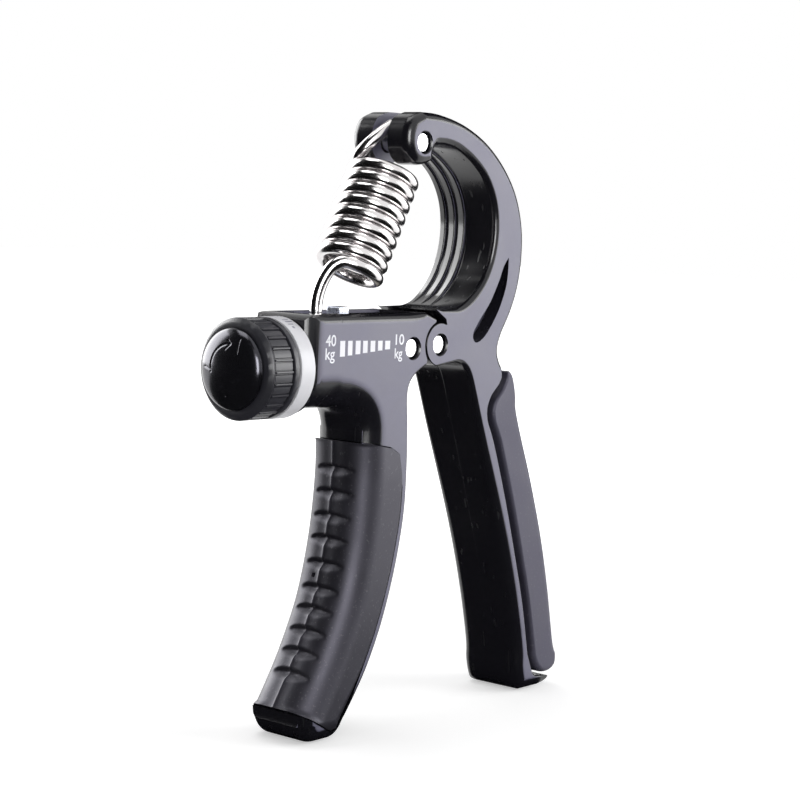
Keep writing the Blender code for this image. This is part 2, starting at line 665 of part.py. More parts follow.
SPIGOT_FACE = ARM_END - SPIGOT_LENGTH
FLANGE_IN = SPIGOT_FACE - GAP
FLANGE_OUT = FLANGE_IN - BUSH_FLANGE_THICK
THRUST_IN = FLANGE_OUT - GAP
THRUST_OUT = THRUST_IN - THRUST_THICK
RING_IN = ARM_END - GAP
RING_OUT = RING_IN - RING_WIDTH
KNOB_FACE = RING_OUT - 0.5 * MM
KNOB_NOSE = KNOB_FACE - KNOB_LENGTH
RECESS_FLOOR = THRUST_OUT - GAP
HEAD_IN = RECESS_FLOOR - KNOB_WEB - GAP
HEAD_OUT = HEAD_IN - HEAD_HEIGHT
CAP_POCKET = HEAD_OUT - GAP
CAP_RIM = KNOB_NOSE - GAP
BLOCK_RIGHT = CAVITY_RIGHT - GAP
BLOCK_LEFT = BLOCK_RIGHT - BLOCK_LENGTH
SHANK_END = BLOCK_LEFT - GAP
JOURNAL_END = BLOCK_LEFT + JOURNAL_SEAT - GAP
THREAD_BORE = SCREW_RADIUS + THREAD_CLEARANCE
HEX_TO_CORNER = 1 / math.cos(math.pi / 6)


def ring_profile(inner, outer, start, end):
    """A plain ring from start to end along x, as a profile for turned()."""
    return [(end, outer), (start, outer), (start, inner), (end, inner)]


def build_adjuster():
    turned("index_ring", ring_profile(SPIGOT_RADIUS + GAP, RING_RADIUS, RING_OUT, RING_IN), WHITE_PLASTIC,
           sides=RING_SIDES)
    turned("front_bush", [
        (FLANGE_OUT, THREAD_BORE), (CAVITY_LEFT, THREAD_BORE), (CAVITY_LEFT, BUSH_RADIUS),
        (FLANGE_IN, BUSH_RADIUS), (FLANGE_IN, BUSH_FLANGE_RADIUS), (FLANGE_OUT, BUSH_FLANGE_RADIUS),
    ], NYLON)
    turned("thrust_washer", ring_profile(THREAD_BORE, THRUST_RADIUS, THRUST_OUT, THRUST_IN), STEEL)
    clip_start = CAVITY_LEFT + GAP
    clip_end = clip_start + CLIP_THICK
    turned("retaining_clip", ring_profile(SCREW_RADIUS + GAP, CLIP_RADIUS, clip_start, clip_end), STEEL)


def build_screw():
    screw = turned("adjusting_screw", [
        (JOURNAL_END, 0.0), (JOURNAL_END, JOURNAL_RADIUS), (SHANK_END, JOURNAL_RADIUS),
        (SHANK_END, SCREW_RADIUS), (HEAD_OUT + OVERRUN, SCREW_RADIUS), (HEAD_OUT + OVERRUN, 0.0),
    ], STEEL, closed=False, sides=SCREW_SIDES)
    head = bar_along("screw_head", HEAD_ACROSS / 2 * HEX_TO_CORNER, HEAD_OUT, HEAD_IN, 6)
    join(screw, head)
    return screw


def knurl_band():
    """The ring of raised teeth round the knob."""
    bm = bmesh.new()
    bmesh.ops.create_cone(bm, cap_ends=True, segments=4 * KNURL_TEETH, radius1=1.0, radius2=1.0,
                          depth=KNURL_LENGTH)
    middle = KNOB_FACE - KNOB_FLANGE - KNURL_GROOVE - KNURL_LENGTH / 2
    for vert in bm.verts:
        angle = math.atan2(vert.co.y, vert.co.x)
        place = round(angle / (2 * math.pi) * 4 * KNURL_TEETH) % 4
        radius = KNOB_RADIUS if place < 2 else KNOB_RADIUS - KNURL_DEPTH
        vert.co = (middle + vert.co.z, radius * math.cos(angle), radius * math.sin(angle))
    return from_bmesh("knurl", bm, None, SCREW_LINE, CUTTERS)


def build_knob():
    band_start = KNOB_FACE - KNOB_FLANGE
    band_end = band_start - 2 * KNURL_GROOVE - KNURL_LENGTH
    root = KNOB_RADIUS - 2 * KNURL_DEPTH
    knob = turned("knob_body", [
        (KNOB_FACE, KNOB_RADIUS), (band_start, KNOB_RADIUS), (band_start, root), (band_end, root),
        (band_end, KNOB_RADIUS), (band_end - KNOB_LAND, KNOB_RADIUS), (KNOB_NOSE, KNOB_NOSE_RADIUS),
        (KNOB_NOSE, CAP_SKIRT_RADIUS + GAP), (CAP_POCKET, CAP_SKIRT_RADIUS + GAP), (CAP_POCKET, THREAD_BORE),
        (RECESS_FLOOR, THREAD_BORE), (RECESS_FLOOR, THRUST_RADIUS + GAP), (KNOB_FACE, THRUST_RADIUS + GAP),
    ], BLACK_PLASTIC, sides=2 * KNURL_TEETH)
    join(knob, knurl_band())
    bore = bar_along("knob_bore", THREAD_BORE, CAP_POCKET - OVERRUN, RECESS_FLOOR + OVERRUN)
    to_corner = (HEAD_ACROSS / 2 + GAP) * HEX_TO_CORNER
    pocket = bar_along("head_pocket", to_corner, CAP_POCKET - OVERRUN, HEAD_IN + GAP, 6)
    cut(knob, bore, pocket)
    return knob


def build_cap():
    slopes = [math.pi / 2 * k / CAP_STEPS for k in range(CAP_STEPS)]
    rise = [(CAP_RIM - CAP_RISE * math.sin(a), CAP_RADIUS * math.cos(a)) for a in slopes]
    return turned("knob_cap", [
        (CAP_RIM + CAP_SKIRT, 0.0), (CAP_RIM + CAP_SKIRT, CAP_SKIRT_RADIUS), (CAP_RIM, CAP_SKIRT_RADIUS),
        *rise, (CAP_RIM - CAP_RISE, 0.0),
    ], GLOSS_PLASTIC, closed=False, sides=CAP_SIDES)


def build_nut():
    half = CAVITY_HALF - GAP
    right = NUT_LEFT + NUT_LENGTH
    nut = box("travelling_nut", (NUT_LEFT, -half, NUT_BOTTOM), (right, half, NUT_TOP), ZINC, PIVOT, PARTS)
    join(nut, box("nut_lug", (NUT_LUG[0], -NUT_LUG_HALF, NUT_LUG_ROOT),
                  (NUT_LUG[1], NUT_LUG_HALF, NUT_LUG_TOP)))
    hook_floor = HOOK_PIN[1] - (HOOK_SEAT + WIRE_RADIUS + 2 * WIRE_SEAT)
    cut(
        nut,
        bar_along("nut_bore", THREAD_BORE, NUT_LEFT - OVERRUN, right + OVERRUN),
        box("hook_slot", (NUT_LEFT - OVERRUN, -HOOK_SLOT_HALF, hook_floor),
            (NUT_LUG[0], HOOK_SLOT_HALF, 2 * NUT_LUG_TOP)),
        box("hook_end_slot", (NUT_LUG[0] - OVERRUN, -HOOK_SLOT_HALF, hook_floor),
            (NUT_LUG[1] - OVERRUN, HOOK_SLOT_HALF, HOOK_PIN[1] - HOOK_END_DROP)),
        bar_across("hook_pin_hole", *HOOK_PIN, HOOK_PIN_RADIUS + GAP, 2 * half, sides=HOOK_PIN_SIDES),
    )
    return nut


def build_bearing():
    half = CAVITY_HALF - GAP
    block = box("end_bearing", (BLOCK_LEFT, -half, CAVITY_FLOOR + GAP), (CAVITY_STEP - GAP, half, BLOCK_TOP),
                NYLON, PIVOT, PARTS)
    join(block, box("bearing_shelf", (BLOCK_LEFT + OVERRUN, -half + GAP / 2, CAVITY_SHELF + GAP),
                    (BLOCK_RIGHT, half - GAP / 2, BLOCK_TOP - GAP)))
    cut(
        block,
        bar_along("journal_bore", JOURNAL_RADIUS + GAP, BLOCK_LEFT - OVERRUN, BLOCK_LEFT + JOURNAL_SEAT),
        bar_across("block_pin_hole", *CROSS_PIN, PIN_RADIUS + PIN_CLEARANCE, 2 * half),
    )
    return block


# Spring

def spring_path():
    """The wire's centre line from the lower hook to the upper one, about the pivot."""
    foot = Vector((HOOK_PIN[0], 0.0, HOOK_PIN[1]))
    top = Vector((TIP_PIN[0], 0.0, TIP_PIN[1]))
    up = (top - foot).normalized()
    right = Vector((up.z, 0.0, -up.x))
    back = Vector((0.0, 1.0, 0.0))
    start = (top - foot).length - COIL_TOP_SPACE - COIL_TURNS * COIL_PITCH

    def coil(angle):
        height = start + COIL_PITCH * (angle - math.pi) / (2 * math.pi)
        return foot + up * height + (right * math.cos(angle) + back * math.sin(angle)) * COIL_RADIUS

    def bend(start, start_way, end, end_way, steps):
        """A smooth bend between two points, leaving and arriving in the given directions."""
        reach = (end - start).length
        a, b = start_way.normalized() * reach, end_way.normalized() * reach
        points = []
        for k in range(1, steps):
            t = k / steps
            points.append(start * (2 * t ** 3 - 3 * t * t + 1) + a * (t ** 3 - 2 * t * t + t)
                          + end * (3 * t * t - 2 * t ** 3) + b * (t ** 3 - t * t))
        return points

    first = math.pi + COIL_LEAVES
    last = math.pi + 2 * math.pi * COIL_TURNS - COIL_LEAVES
    turns = round((last - first) / (2 * math.pi) * COIL_POINTS)
    body = [coil(first + (last - first) * k / turns) for k in range(turns + 1)]

    lower = [foot + Vector((HOOK_REACH * math.cos(a), 0.0, HOOK_SEAT * math.sin(a)))
             for a in [math.radians(d) for d in HOOK_ANGLES]]
    lower.append(foot + Vector((-HOOK_REACH - HOOK_LEAN, 0.0, HOOK_RISE)))
    upper = [top + Vector((TIP_REACH * math.cos(a), 0.0, TIP_SEAT * math.sin(a)))
             for a in [math.radians(d) for d in TIP_ANGLES]]
    down = bend(lower[-1], HOOK_LEAVES, body[0], body[1] - body[0], 6)
    rise = bend(body[-1], body[-1] - body[-2], upper[0], upper[1] - upper[0], 6)
    return lower + down + body + rise + upper


def least_gap(path, radius):
    """The least clear distance between stretches of a tube that aren't neighbours."""
    run = [0.0]
    for a, b in zip(path, path[1:]):
        run.append(run[-1] + (b - a).length)
    least = math.inf
    for i, a in enumerate(path):
        for j in range(i + 1, len(path)):
            if run[j] - run[i] > 6 * radius:
                least = min(least, (path[j] - a).length)
    return least - 2 * radius


def build_spring():
    path = spring_path()
    curve = bpy.data.curves.new("spring", "CURVE")
    curve.dimensions = "3D"
    spline = curve.splines.new("POLY")
    spline.points.add(len(path) - 1)
    for point, place in zip(spline.points, path):
        point.co = (*place, 1.0)
    curve.bevel_depth = WIRE_RADIUS
    curve.bevel_resolution = 1
    curve.use_fill_caps = True
    add_object("spring", curve, CHROME, PIVOT, PARTS)
    print(f"spring: least gap to itself {least_gap(path, WIRE_RADIUS) / MM:.2f} mm")


build_frame()
build_pad()
build_lever()
build_sleeve()
build_pins()
build_pivot_rings()
build_adjuster()
build_screw()
build_knob()
build_cap()
build_nut()
build_bearing()
build_spring()
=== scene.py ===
# %% [markdown]
# # An adjustable hand gripper
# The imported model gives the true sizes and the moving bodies. This script dresses it:
# each piece that shows is modelled again with its rounded edges, grooves and print, and
# gets a procedural material. Nothing is moved, so the pieces still turn about the same pins.

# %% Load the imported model
import json
import math

import bmesh
import bpy
import numpy as np
from mathutils import Matrix, Vector


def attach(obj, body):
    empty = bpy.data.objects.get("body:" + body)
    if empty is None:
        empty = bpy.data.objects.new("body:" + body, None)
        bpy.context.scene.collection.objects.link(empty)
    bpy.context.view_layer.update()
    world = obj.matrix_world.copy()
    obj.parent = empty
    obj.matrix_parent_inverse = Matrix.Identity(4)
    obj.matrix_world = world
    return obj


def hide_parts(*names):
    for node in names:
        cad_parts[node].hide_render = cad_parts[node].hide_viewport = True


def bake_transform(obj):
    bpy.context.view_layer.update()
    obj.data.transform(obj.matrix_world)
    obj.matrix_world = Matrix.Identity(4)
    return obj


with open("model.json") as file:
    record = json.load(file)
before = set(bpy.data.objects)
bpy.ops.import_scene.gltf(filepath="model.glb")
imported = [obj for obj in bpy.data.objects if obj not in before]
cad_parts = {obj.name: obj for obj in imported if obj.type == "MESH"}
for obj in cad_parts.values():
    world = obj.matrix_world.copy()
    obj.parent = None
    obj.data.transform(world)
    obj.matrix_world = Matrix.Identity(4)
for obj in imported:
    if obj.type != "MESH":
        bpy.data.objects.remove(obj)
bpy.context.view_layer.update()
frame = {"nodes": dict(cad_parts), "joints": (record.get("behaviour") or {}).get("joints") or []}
MM = 0.001
joints = {joint["name"]: joint for joint in frame["joints"]}
PIVOT = Vector(joints["squeeze"]["pos_m"])
SCREW_LINE = Vector(joints["knob_spin"]["pos_m"])


def linked(name, data):
    """A new object, put in the scene."""
    obj = bpy.data.objects.new(name, data)
    bpy.context.scene.collection.objects.link(obj)
    return obj


print("pivot", tuple(PIVOT), "screw line", tuple(SCREW_LINE), "nodes", len(frame["nodes"]))

# %% [markdown]
# ## The camera
# The camera is set first, because every other choice is judged through it. It stands low on
# the knob's side and looks along the screw towards the palm leg. Its three directions were
# solved from pins and edges whose places are known, so it is written as a small matrix.

# %% Camera
CAMERA_PLACE = Vector((-0.38615, -0.32922, 0.12837))
CAMERA_RIGHT = Vector((0.6491, -0.7598, 0.0369))
CAMERA_UP = Vector((0.0463, 0.0878, 0.9951))
LENS_MM = 90.0


def camera_matrix(place, right, up):
    """Where a camera stands and how it is turned, from two of its directions."""
    back = right.cross(up).normalized()
    up = back.cross(right).normalized()
    turn = Matrix((right.normalized(), up, back)).transposed().to_4x4()
    return Matrix.Translation(place) @ turn


lens = bpy.data.cameras.new("studio_camera")
lens.lens = LENS_MM
lens.sensor_width = 36.0
camera = linked("studio_camera", lens)
camera.matrix_world = camera_matrix(CAMERA_PLACE, CAMERA_RIGHT, CAMERA_UP)
bpy.context.scene.camera = camera
bpy.context.scene.view_settings.view_transform = "Standard"
print("camera", round((CAMERA_PLACE - PIVOT).length, 3), "m from the pivot")

# %% [markdown]
# ## Node tools
# Materials here are written as short node graphs. Small helpers keep them readable: one adds a
# node and sets its values, one gives a socket its number or joins it to another. A shader group
# is a material effect that several finishes share, so it is built once and given other numbers
# in each.

# %% Node helpers
def add_node(tree, kind, **values):
    node = tree.nodes.new(kind)
    for name, value in values.items():
        setattr(node, name, value)
    return node


def feed(tree, socket, value):
    """Joins a socket to another one, or sets it to a number or a colour."""
    if isinstance(value, bpy.types.NodeSocket):
        tree.links.new(value, socket)
    else:
        socket.default_value = value


def maths(tree, operation, *values):
    node = add_node(tree, "ShaderNodeMath", operation=operation)
    for socket, value in zip(node.inputs, values):
        feed(tree, socket, value)
    return node.outputs[0]


def ramp(tree, value, low, high, to_low=0.0, to_high=1.0):
    """A smooth step of a value between two others."""
    node = add_node(tree, "ShaderNodeMapRange", interpolation_type="SMOOTHSTEP")
    labels = ("Value", "From Min", "From Max", "To Min", "To Max")
    for label, number in zip(labels, (value, low, high, to_low, to_high)):
        feed(tree, node.inputs[label], number)
    return node.outputs["Result"]


def mix_colours(tree, share, first, second):
    node = add_node(tree, "ShaderNodeMix", data_type="RGBA")
    for index, value in ((0, share), (6, first), (7, second)):
        feed(tree, node.inputs[index], value)
    return node.outputs[2]


def new_finish(name):
    """A material, its node tree and the inputs of its Principled shader."""
    made = bpy.data.materials.new(name)
    made.use_nodes = True
    return made, made.node_tree, made.node_tree.nodes["Principled BSDF"].inputs


print("node helpers ready")

# %% Group helpers
def new_group(name, inputs, outputs):
    """An empty shader group. Inputs are names and values, outputs are names; all are numbers."""
    group = bpy.data.node_groups.new(name, "ShaderNodeTree")
    for label, value in inputs.items():
        socket = group.interface.new_socket(label, in_out="INPUT", socket_type="NodeSocketFloat")
        socket.default_value = value
    for label in outputs:
        group.interface.new_socket(label, in_out="OUTPUT", socket_type="NodeSocketFloat")
    start = group.nodes.new("NodeGroupInput")
    end = group.nodes.new("NodeGroupOutput")
    return group, start.outputs, end.inputs


def use_group(tree, group, **values):
    node = tree.nodes.new("ShaderNodeGroup")
    node.node_tree = group
    for label, value in values.items():
        node.inputs[label].default_value = value
    return node.outputs


print("group helpers ready")

# %% [markdown]
# ## Floor, background and lamps
# The product stands on a plain pale floor before white. The floor is an ordinary matt
# surface that keeps the soft shadow; what the camera and shiny metal see of it is lifted to
# white by Light Path, so no extra light falls on the object. The world works the same way.

# %% Floor
CENTRE = Vector((0.0, 0.0, 0.075))
FLOOR_HALF = 4.0
FLOOR_DROP = 0.0003
FLOOR_PALE = (0.86, 0.86, 0.86, 1.0)
SHADOW_REACH = (0.12, 0.55)
SHADOW_LIFT = 0.42


def seen_directly(tree):
    """1 for rays from the camera and for those in mirrors and glass, 0 for stray light."""
    path = tree.nodes.new("ShaderNodeLightPath")
    both = maths(tree, "MAXIMUM", path.outputs["Is Camera Ray"], path.outputs["Is Glossy Ray"])
    return maths(tree, "MAXIMUM", both, path.outputs["Is Transmission Ray"])


def floor_material():
    made, tree, _ = new_finish("pale_floor")
    tree.nodes.clear()
    matt = add_node(tree, "ShaderNodeBsdfDiffuse")
    matt.inputs["Color"].default_value = FLOOR_PALE
    place = tree.nodes.new("ShaderNodeTexCoord")
    length = add_node(tree, "ShaderNodeVectorMath", operation="LENGTH")
    tree.links.new(place.outputs["Object"], length.inputs[0])
    lift = ramp(tree, length.outputs["Value"], *SHADOW_REACH, SHADOW_LIFT, 1.0)
    glow = tree.nodes.new("ShaderNodeEmission")
    tree.links.new(maths(tree, "MULTIPLY", seen_directly(tree), lift), glow.inputs["Strength"])
    both = tree.nodes.new("ShaderNodeAddShader")
    tree.links.new(matt.outputs[0], both.inputs[0])
    tree.links.new(glow.outputs[0], both.inputs[1])
    end = tree.nodes.new("ShaderNodeOutputMaterial")
    tree.links.new(both.outputs[0], end.inputs["Surface"])
    return made


floor_mesh = bpy.data.meshes.new("floor")
floor_corners = [(x * FLOOR_HALF, y * FLOOR_HALF, -FLOOR_DROP)
                 for x, y in ((-1, -1), (1, -1), (1, 1), (-1, 1))]
floor_mesh.from_pydata(floor_corners, [], [(0, 1, 2, 3)])
floor_mesh.materials.append(floor_material())
floor = linked("floor", floor_mesh)
print("floor", 2 * FLOOR_HALF, "m across")

# %% World
WORLD_FILL = 0.36
world = bpy.data.worlds.new("white_studio")
world.use_nodes = True
bpy.context.scene.world = world
world_tree = world.node_tree
world_tree.nodes.clear()
sky = world_tree.nodes.new("ShaderNodeBackground")
sky.inputs["Color"].default_value = (1.0, 1.0, 1.0, 1.0)
sky_level = ramp(world_tree, seen_directly(world_tree), 0.0, 1.0, WORLD_FILL, 1.0)
world_tree.links.new(sky_level, sky.inputs["Strength"])
world_end = world_tree.nodes.new("ShaderNodeOutputWorld")
world_tree.links.new(sky.outputs[0], world_end.inputs["Surface"])
print("world fill", WORLD_FILL)

# %% [markdown]
# ## Lamps and black cards
# Black plastic and bright chrome are lit by what they mirror. The front lamp stands where the
# flat front face mirrors it, so that face turns satin grey, together with the painted sheen in
# its colour; the back lamp does the same for the ribs and the dome, and the narrow rim lamp draws the light
# line on the knob's chamfer.
# Black cards stand to the left and right and lie on the ground and overhead: they are the dark
# bands down the spring and the black of the side walls. Only reflections see them, so they
# take no light from the scene.

# %% Lamps
LAMPS = [
    ("front_lamp", (0.80, -0.78, 0.22), 0.95, 0.9, 13.5),
    ("top_lamp", (-0.10, 0.25, 1.1), 0.7, 0.5, 3.5),
    ("back_lamp", (-0.16, 1.35, 0.55), 1.3, 1.1, 23.0),
    ("side_fill", (-1.35, -1.25, 0.75), 1.1, 1.1, 9.0),
    ("rim_lamp", (-0.55, -0.70, 0.26), 0.30, 0.60, 6.5),
]


def lamp(name, place, width, height, power):
    """A soft box of a size in metres and a power in watts, turned to the product."""
    data = bpy.data.lights.new(name, "AREA")
    data.shape = "RECTANGLE"
    data.size = width
    data.size_y = height
    data.energy = power
    obj = linked(name, data)
    way = CENTRE - Vector(place)
    obj.matrix_world = Matrix.Translation(place) @ way.to_track_quat("-Z", "Y").to_matrix().to_4x4()
    return obj


lamps = {row[0]: lamp(*row) for row in LAMPS}
lamps["back_lamp"].visible_diffuse = False
lamps["rim_lamp"].visible_diffuse = False
lamps["side_fill"].visible_glossy = False
print("lamps:", list(lamps))


# %% Black cards
CARD_RADIUS = 1.7
CARD_OVERLAP = 0.2
CARD_HEIGHT = 2.2
CARD_STEPS = 24
CARD_BLACK = (0.004, 0.004, 0.004, 1.0)
BLACK_CARD, _, card_shader = new_finish("black_card")
card_shader["Base Color"].default_value = CARD_BLACK
card_shader["Roughness"].default_value = 1.0
card_shader["Specular IOR Level"].default_value = 0.0


def add_card(name, corners, faces):
    mesh = bpy.data.meshes.new(name)
    mesh.from_pydata(corners, [], faces)
    mesh.materials.append(BLACK_CARD)
    card = linked(name, mesh)
    for kind in ("camera", "diffuse", "transmission", "shadow", "volume_scatter"):
        setattr(card, "visible_" + kind, False)
    return card


def card_rim(centre, radius, start, end):
    """Points of an arc between two bearings in degrees from +X."""
    x, y, height = centre
    turns = np.radians(np.linspace(start, end, CARD_STEPS + 1))
    return [(x + radius * math.cos(a), y + radius * math.sin(a), height) for a in turns]


def curved_card(name, start, end):
    """A card bent round the object, from just under the floor to the top card."""
    low = card_rim((0.0, 0.0, -0.001), CARD_RADIUS, start, end)
    high = card_rim((0.0, 0.0, CARD_HEIGHT), CARD_RADIUS, start, end)
    shift = CARD_STEPS + 1
    return add_card(name, low + high, [(k, k + 1, k + 1 + shift, k + shift) for k in range(CARD_STEPS)])


def flat_card(name, centre, start, end):
    """A level card like a slice of pie, for what faces down or up."""
    rim = card_rim(centre, CARD_RADIUS + CARD_OVERLAP, start, end)
    return add_card(name, [centre] + rim, [(0, k, k + 1) for k in range(1, CARD_STEPS + 1)])


cards = [
    curved_card("side_card", 118.0, 217.0),
    curved_card("right_card", -8.0, 46.0),
    flat_card("ground_card", (0.07, -0.03, 0.0004), 122.0, 284.0),
    flat_card("right_ground_card", (0.30, 0.10, 0.0004), -8.0, 46.0),
    flat_card("top_card", (0.0, 0.0, CARD_HEIGHT), 50.0, 235.0),
]
print("cards:", [card.name for card in cards])

# %% [markdown]
# ## Shared effects
# Moulded plastic is never even. A fine grain comes from the spark-eroded mould, broad smudges
# from handling, and hairline scratches from use. Each is one group, so the black plastic, the
# rubber and the metal share them at their own scale and strength.

# %% Noise for the groups
def noise_field(group, given, detail, distortion=0.0, turned=None, stretched=None):
    """Noise over the object's own coordinates at the group's Scale, drawn out if asked."""
    place = group.nodes.new("ShaderNodeTexCoord").outputs["Object"]
    if stretched:
        mapping = add_node(group, "ShaderNodeMapping")
        mapping.inputs["Rotation"].default_value = turned
        mapping.inputs["Scale"].default_value = stretched
        group.links.new(place, mapping.inputs["Vector"])
        place = mapping.outputs["Vector"]
    noise = add_node(group, "ShaderNodeTexNoise")
    noise.inputs["Detail"].default_value = detail
    noise.inputs["Distortion"].default_value = distortion
    group.links.new(place, noise.inputs["Vector"])
    group.links.new(given["Scale"], noise.inputs["Scale"])
    return noise.outputs["Fac"]


SPECKS_FROM_TO = (0.60, 0.72)
PATCHES_FROM_TO = (0.30, 0.70)
LINES_FROM_TO = (0.665, 0.70)
LINES_TURNED = (0.25, 0.35, 0.1)
LINES_STRETCHED = (9.0, 9.0, 0.35)
print("specks fill", SPECKS_FROM_TO, "patches", PATCHES_FROM_TO, "lines", LINES_FROM_TO)


# %% Grain, smudge and scratch groups
def build_grain_group():
    """Fine even grain: a height, and specks for colour."""
    group, given, out = new_group("fine_grain", {"Scale": 4000.0}, ["Height", "Specks"])
    noise = noise_field(group, given, detail=3.0)
    group.links.new(noise, out["Height"])
    group.links.new(ramp(group, noise, *SPECKS_FROM_TO), out["Specks"])
    return group


def build_smudge_group():
    """Broad soft patches from 0 to 1, for roughness and colour."""
    group, given, out = new_group("smudges", {"Scale": 60.0}, ["Patches"])
    noise = noise_field(group, given, detail=4.0, distortion=0.6)
    group.links.new(ramp(group, noise, *PATCHES_FROM_TO), out["Patches"])
    return group


def build_scratch_group():
    """A few hairlines along z, from 0 to 1."""
    group, given, out = new_group("hairlines", {"Scale": 90.0, "Amount": 0.5}, ["Lines"])
    noise = noise_field(group, given, detail=2.0, turned=LINES_TURNED, stretched=LINES_STRETCHED)
    lines = ramp(group, noise, *LINES_FROM_TO)
    group.links.new(maths(group, "MULTIPLY", lines, given["Amount"]), out["Lines"])
    return group


GRAIN = build_grain_group()
SMUDGES = build_smudge_group()
HAIRLINES = build_scratch_group()
print("groups:", [group.name for group in (GRAIN, SMUDGES, HAIRLINES)])


# %% Flat face group
def build_flat_face_group():
    """1 where the surface faces along the product's thin direction, 0 on its sides."""
    group, given, out = new_group("flat_faces", {"From": 0.962, "To": 0.997}, ["Mask"])
    place = group.nodes.new("ShaderNodeTexCoord")
    parts = group.nodes.new("ShaderNodeSeparateXYZ")
    group.links.new(place.outputs["Normal"], parts.inputs[0])
    facing = maths(group, "ABSOLUTE", parts.outputs["Y"])
    group.links.new(ramp(group, facing, given["From"], given["To"]), out["Mask"])
    return group


FLAT_FACES = build_flat_face_group()
print("group:", FLAT_FACES.name)

# %% [markdown]
# ## Finishes
# The frame and handle are one black plastic with two textures in the mould: the flat faces
# are eroded to a satin, the edges and inner walls are polished. The satin is coloured grey-lilac,
# a painted sheen for the broad lamp's reflection on black plastic. The mask from the flat face
# group switches between them on one surface.

# %% Finish helpers
GRAIN_DEPTH = 0.00004


def bump(tree, height, strength, depth):
    node = add_node(tree, "ShaderNodeBump")
    node.inputs["Strength"].default_value = strength
    node.inputs["Distance"].default_value = depth
    tree.links.new(height, node.inputs["Height"])
    return node.outputs["Normal"]


def shaded(tree, share, colour, gain):
    """A colour that drifts to a lighter or darker one of its own kind."""
    return mix_colours(tree, share, (*colour, 1.0), (*[min(1.0, c * gain) for c in colour], 1.0))


def even_finish(name, colour, rough, smudges, gain=1.0, patch_rough=0.08, grain=None, dust=None):
    """One texture all over. Smudges of a scale drift colour and roughness; grain is (scale,
    strength, depth in metres) and dust is (scale, share, colour)."""
    made, tree, shader = new_finish(name)
    patches = use_group(tree, SMUDGES, Scale=smudges)["Patches"]
    tint = (*colour, 1.0) if gain == 1.0 else shaded(tree, patches, colour, gain)
    if dust:
        scale, share, pale = dust
        specks = use_group(tree, GRAIN, Scale=scale)["Specks"]
        tint = mix_colours(tree, maths(tree, "MULTIPLY", specks, share), tint, (*pale, 1.0))
    feed(tree, shader["Base Color"], tint)
    feed(tree, shader["Roughness"], maths(tree, "MULTIPLY_ADD", patches, patch_rough, rough))
    if grain:
        scale, strength, depth = grain
        height = use_group(tree, GRAIN, Scale=scale)["Height"]
        feed(tree, shader["Normal"], bump(tree, height, strength, depth))
    return made, shader


print("finish helpers ready")


# %% Plastic finishes
BLACK_GRAIN = 5200.0


def moulded_black(name, satin_with_painted_sheen, polished, satin_rough, polished_rough):
    """Satin on the flat faces, coloured grey-lilac as a painted sheen; polished with smudges and hairlines
    on the rest.
    """
    made, tree, shader = new_finish(name)
    mask = use_group(tree, FLAT_FACES)["Mask"]
    patches = use_group(tree, SMUDGES, Scale=70.0)["Patches"]
    grain = use_group(tree, GRAIN, Scale=BLACK_GRAIN)
    lines = use_group(tree, HAIRLINES, Scale=70.0, Amount=0.8)["Lines"]
    specks = maths(tree, "MULTIPLY", grain["Specks"], 0.35)
    # Painted sheen: the satin colour, and the lighter specks made from it, are grey-lilac where the plastic
    # is black.
    light_speck_with_painted_sheen = (*[c * 2.2 for c in satin_with_painted_sheen], 1.0)
    specked = mix_colours(tree, specks, shaded(tree, patches, satin_with_painted_sheen, 1.18), light_speck_with_painted_sheen)
    feed(tree, shader["Base Color"], mix_colours(tree, mask, (*polished, 1.0), specked))
    worn = maths(tree, "MULTIPLY_ADD", patches, 0.07, polished_rough)
    scratched = maths(tree, "MULTIPLY_ADD", lines, 0.25, worn)
    flat = maths(tree, "MULTIPLY_ADD", patches, 0.08, satin_rough)
    rough = add_node(tree, "ShaderNodeMix", data_type="FLOAT")
    for index, value in ((0, mask), (2, scratched), (3, flat)):
        feed(tree, rough.inputs[index], value)
    feed(tree, shader["Roughness"], rough.outputs[0])
    height = maths(tree, "MULTIPLY_ADD", lines, -0.6, maths(tree, "MULTIPLY", grain["Height"], mask))
    feed(tree, shader["Normal"], bump(tree, height, 0.25, GRAIN_DEPTH))
    return made


# The satin colour is a painted sheen, far lighter than the black of the polished walls.
BLACK_MOULDING = moulded_black("black_moulding", satin_with_painted_sheen=(0.100, 0.097, 0.142),
                               polished=(0.0075, 0.0072, 0.0100), satin_rough=0.40, polished_rough=0.15)
KNOB_MOULDING, _ = even_finish("knob_moulding", (0.021, 0.021, 0.027), 0.30, smudges=90.0, gain=1.3,
                               grain=(BLACK_GRAIN, 0.25, GRAIN_DEPTH))
POLISHED_CAP, cap_shader = even_finish("polished_cap", (0.006, 0.006, 0.0075), 0.15, smudges=110.0,
                                       patch_rough=0.04, dust=(900.0, 0.25, (0.03, 0.03, 0.035)))
cap_shader["Specular IOR Level"].default_value = 0.7
cap_shader["Specular Tint"].default_value = (0.88, 0.87, 1.0, 1.0)
print("plastics ready")

# %% [markdown]
# Both grips are rubber, pressed in a mould that was blasted, so they are matt with a cool sheen
# and collect pale dust. The same finish maker is given a deeper grain and some dust; a colour
# given for each grip is enough, since the light does the rest.

# %% Rubber finish
DUST = (1500.0, 0.10, (0.35, 0.34, 0.34))


def soft_rubber(name, colour, rough):
    """Matt moulded rubber with pale dust specks and a cool sheen."""
    made, shader = even_finish(name, colour, rough, smudges=85.0, gain=1.22,
                               grain=(3000.0, 0.35, 1.5 * GRAIN_DEPTH), dust=DUST)
    shader["Specular IOR Level"].default_value = 0.56
    shader["Specular Tint"].default_value = (0.86, 0.84, 1.0, 1.0)
    return made


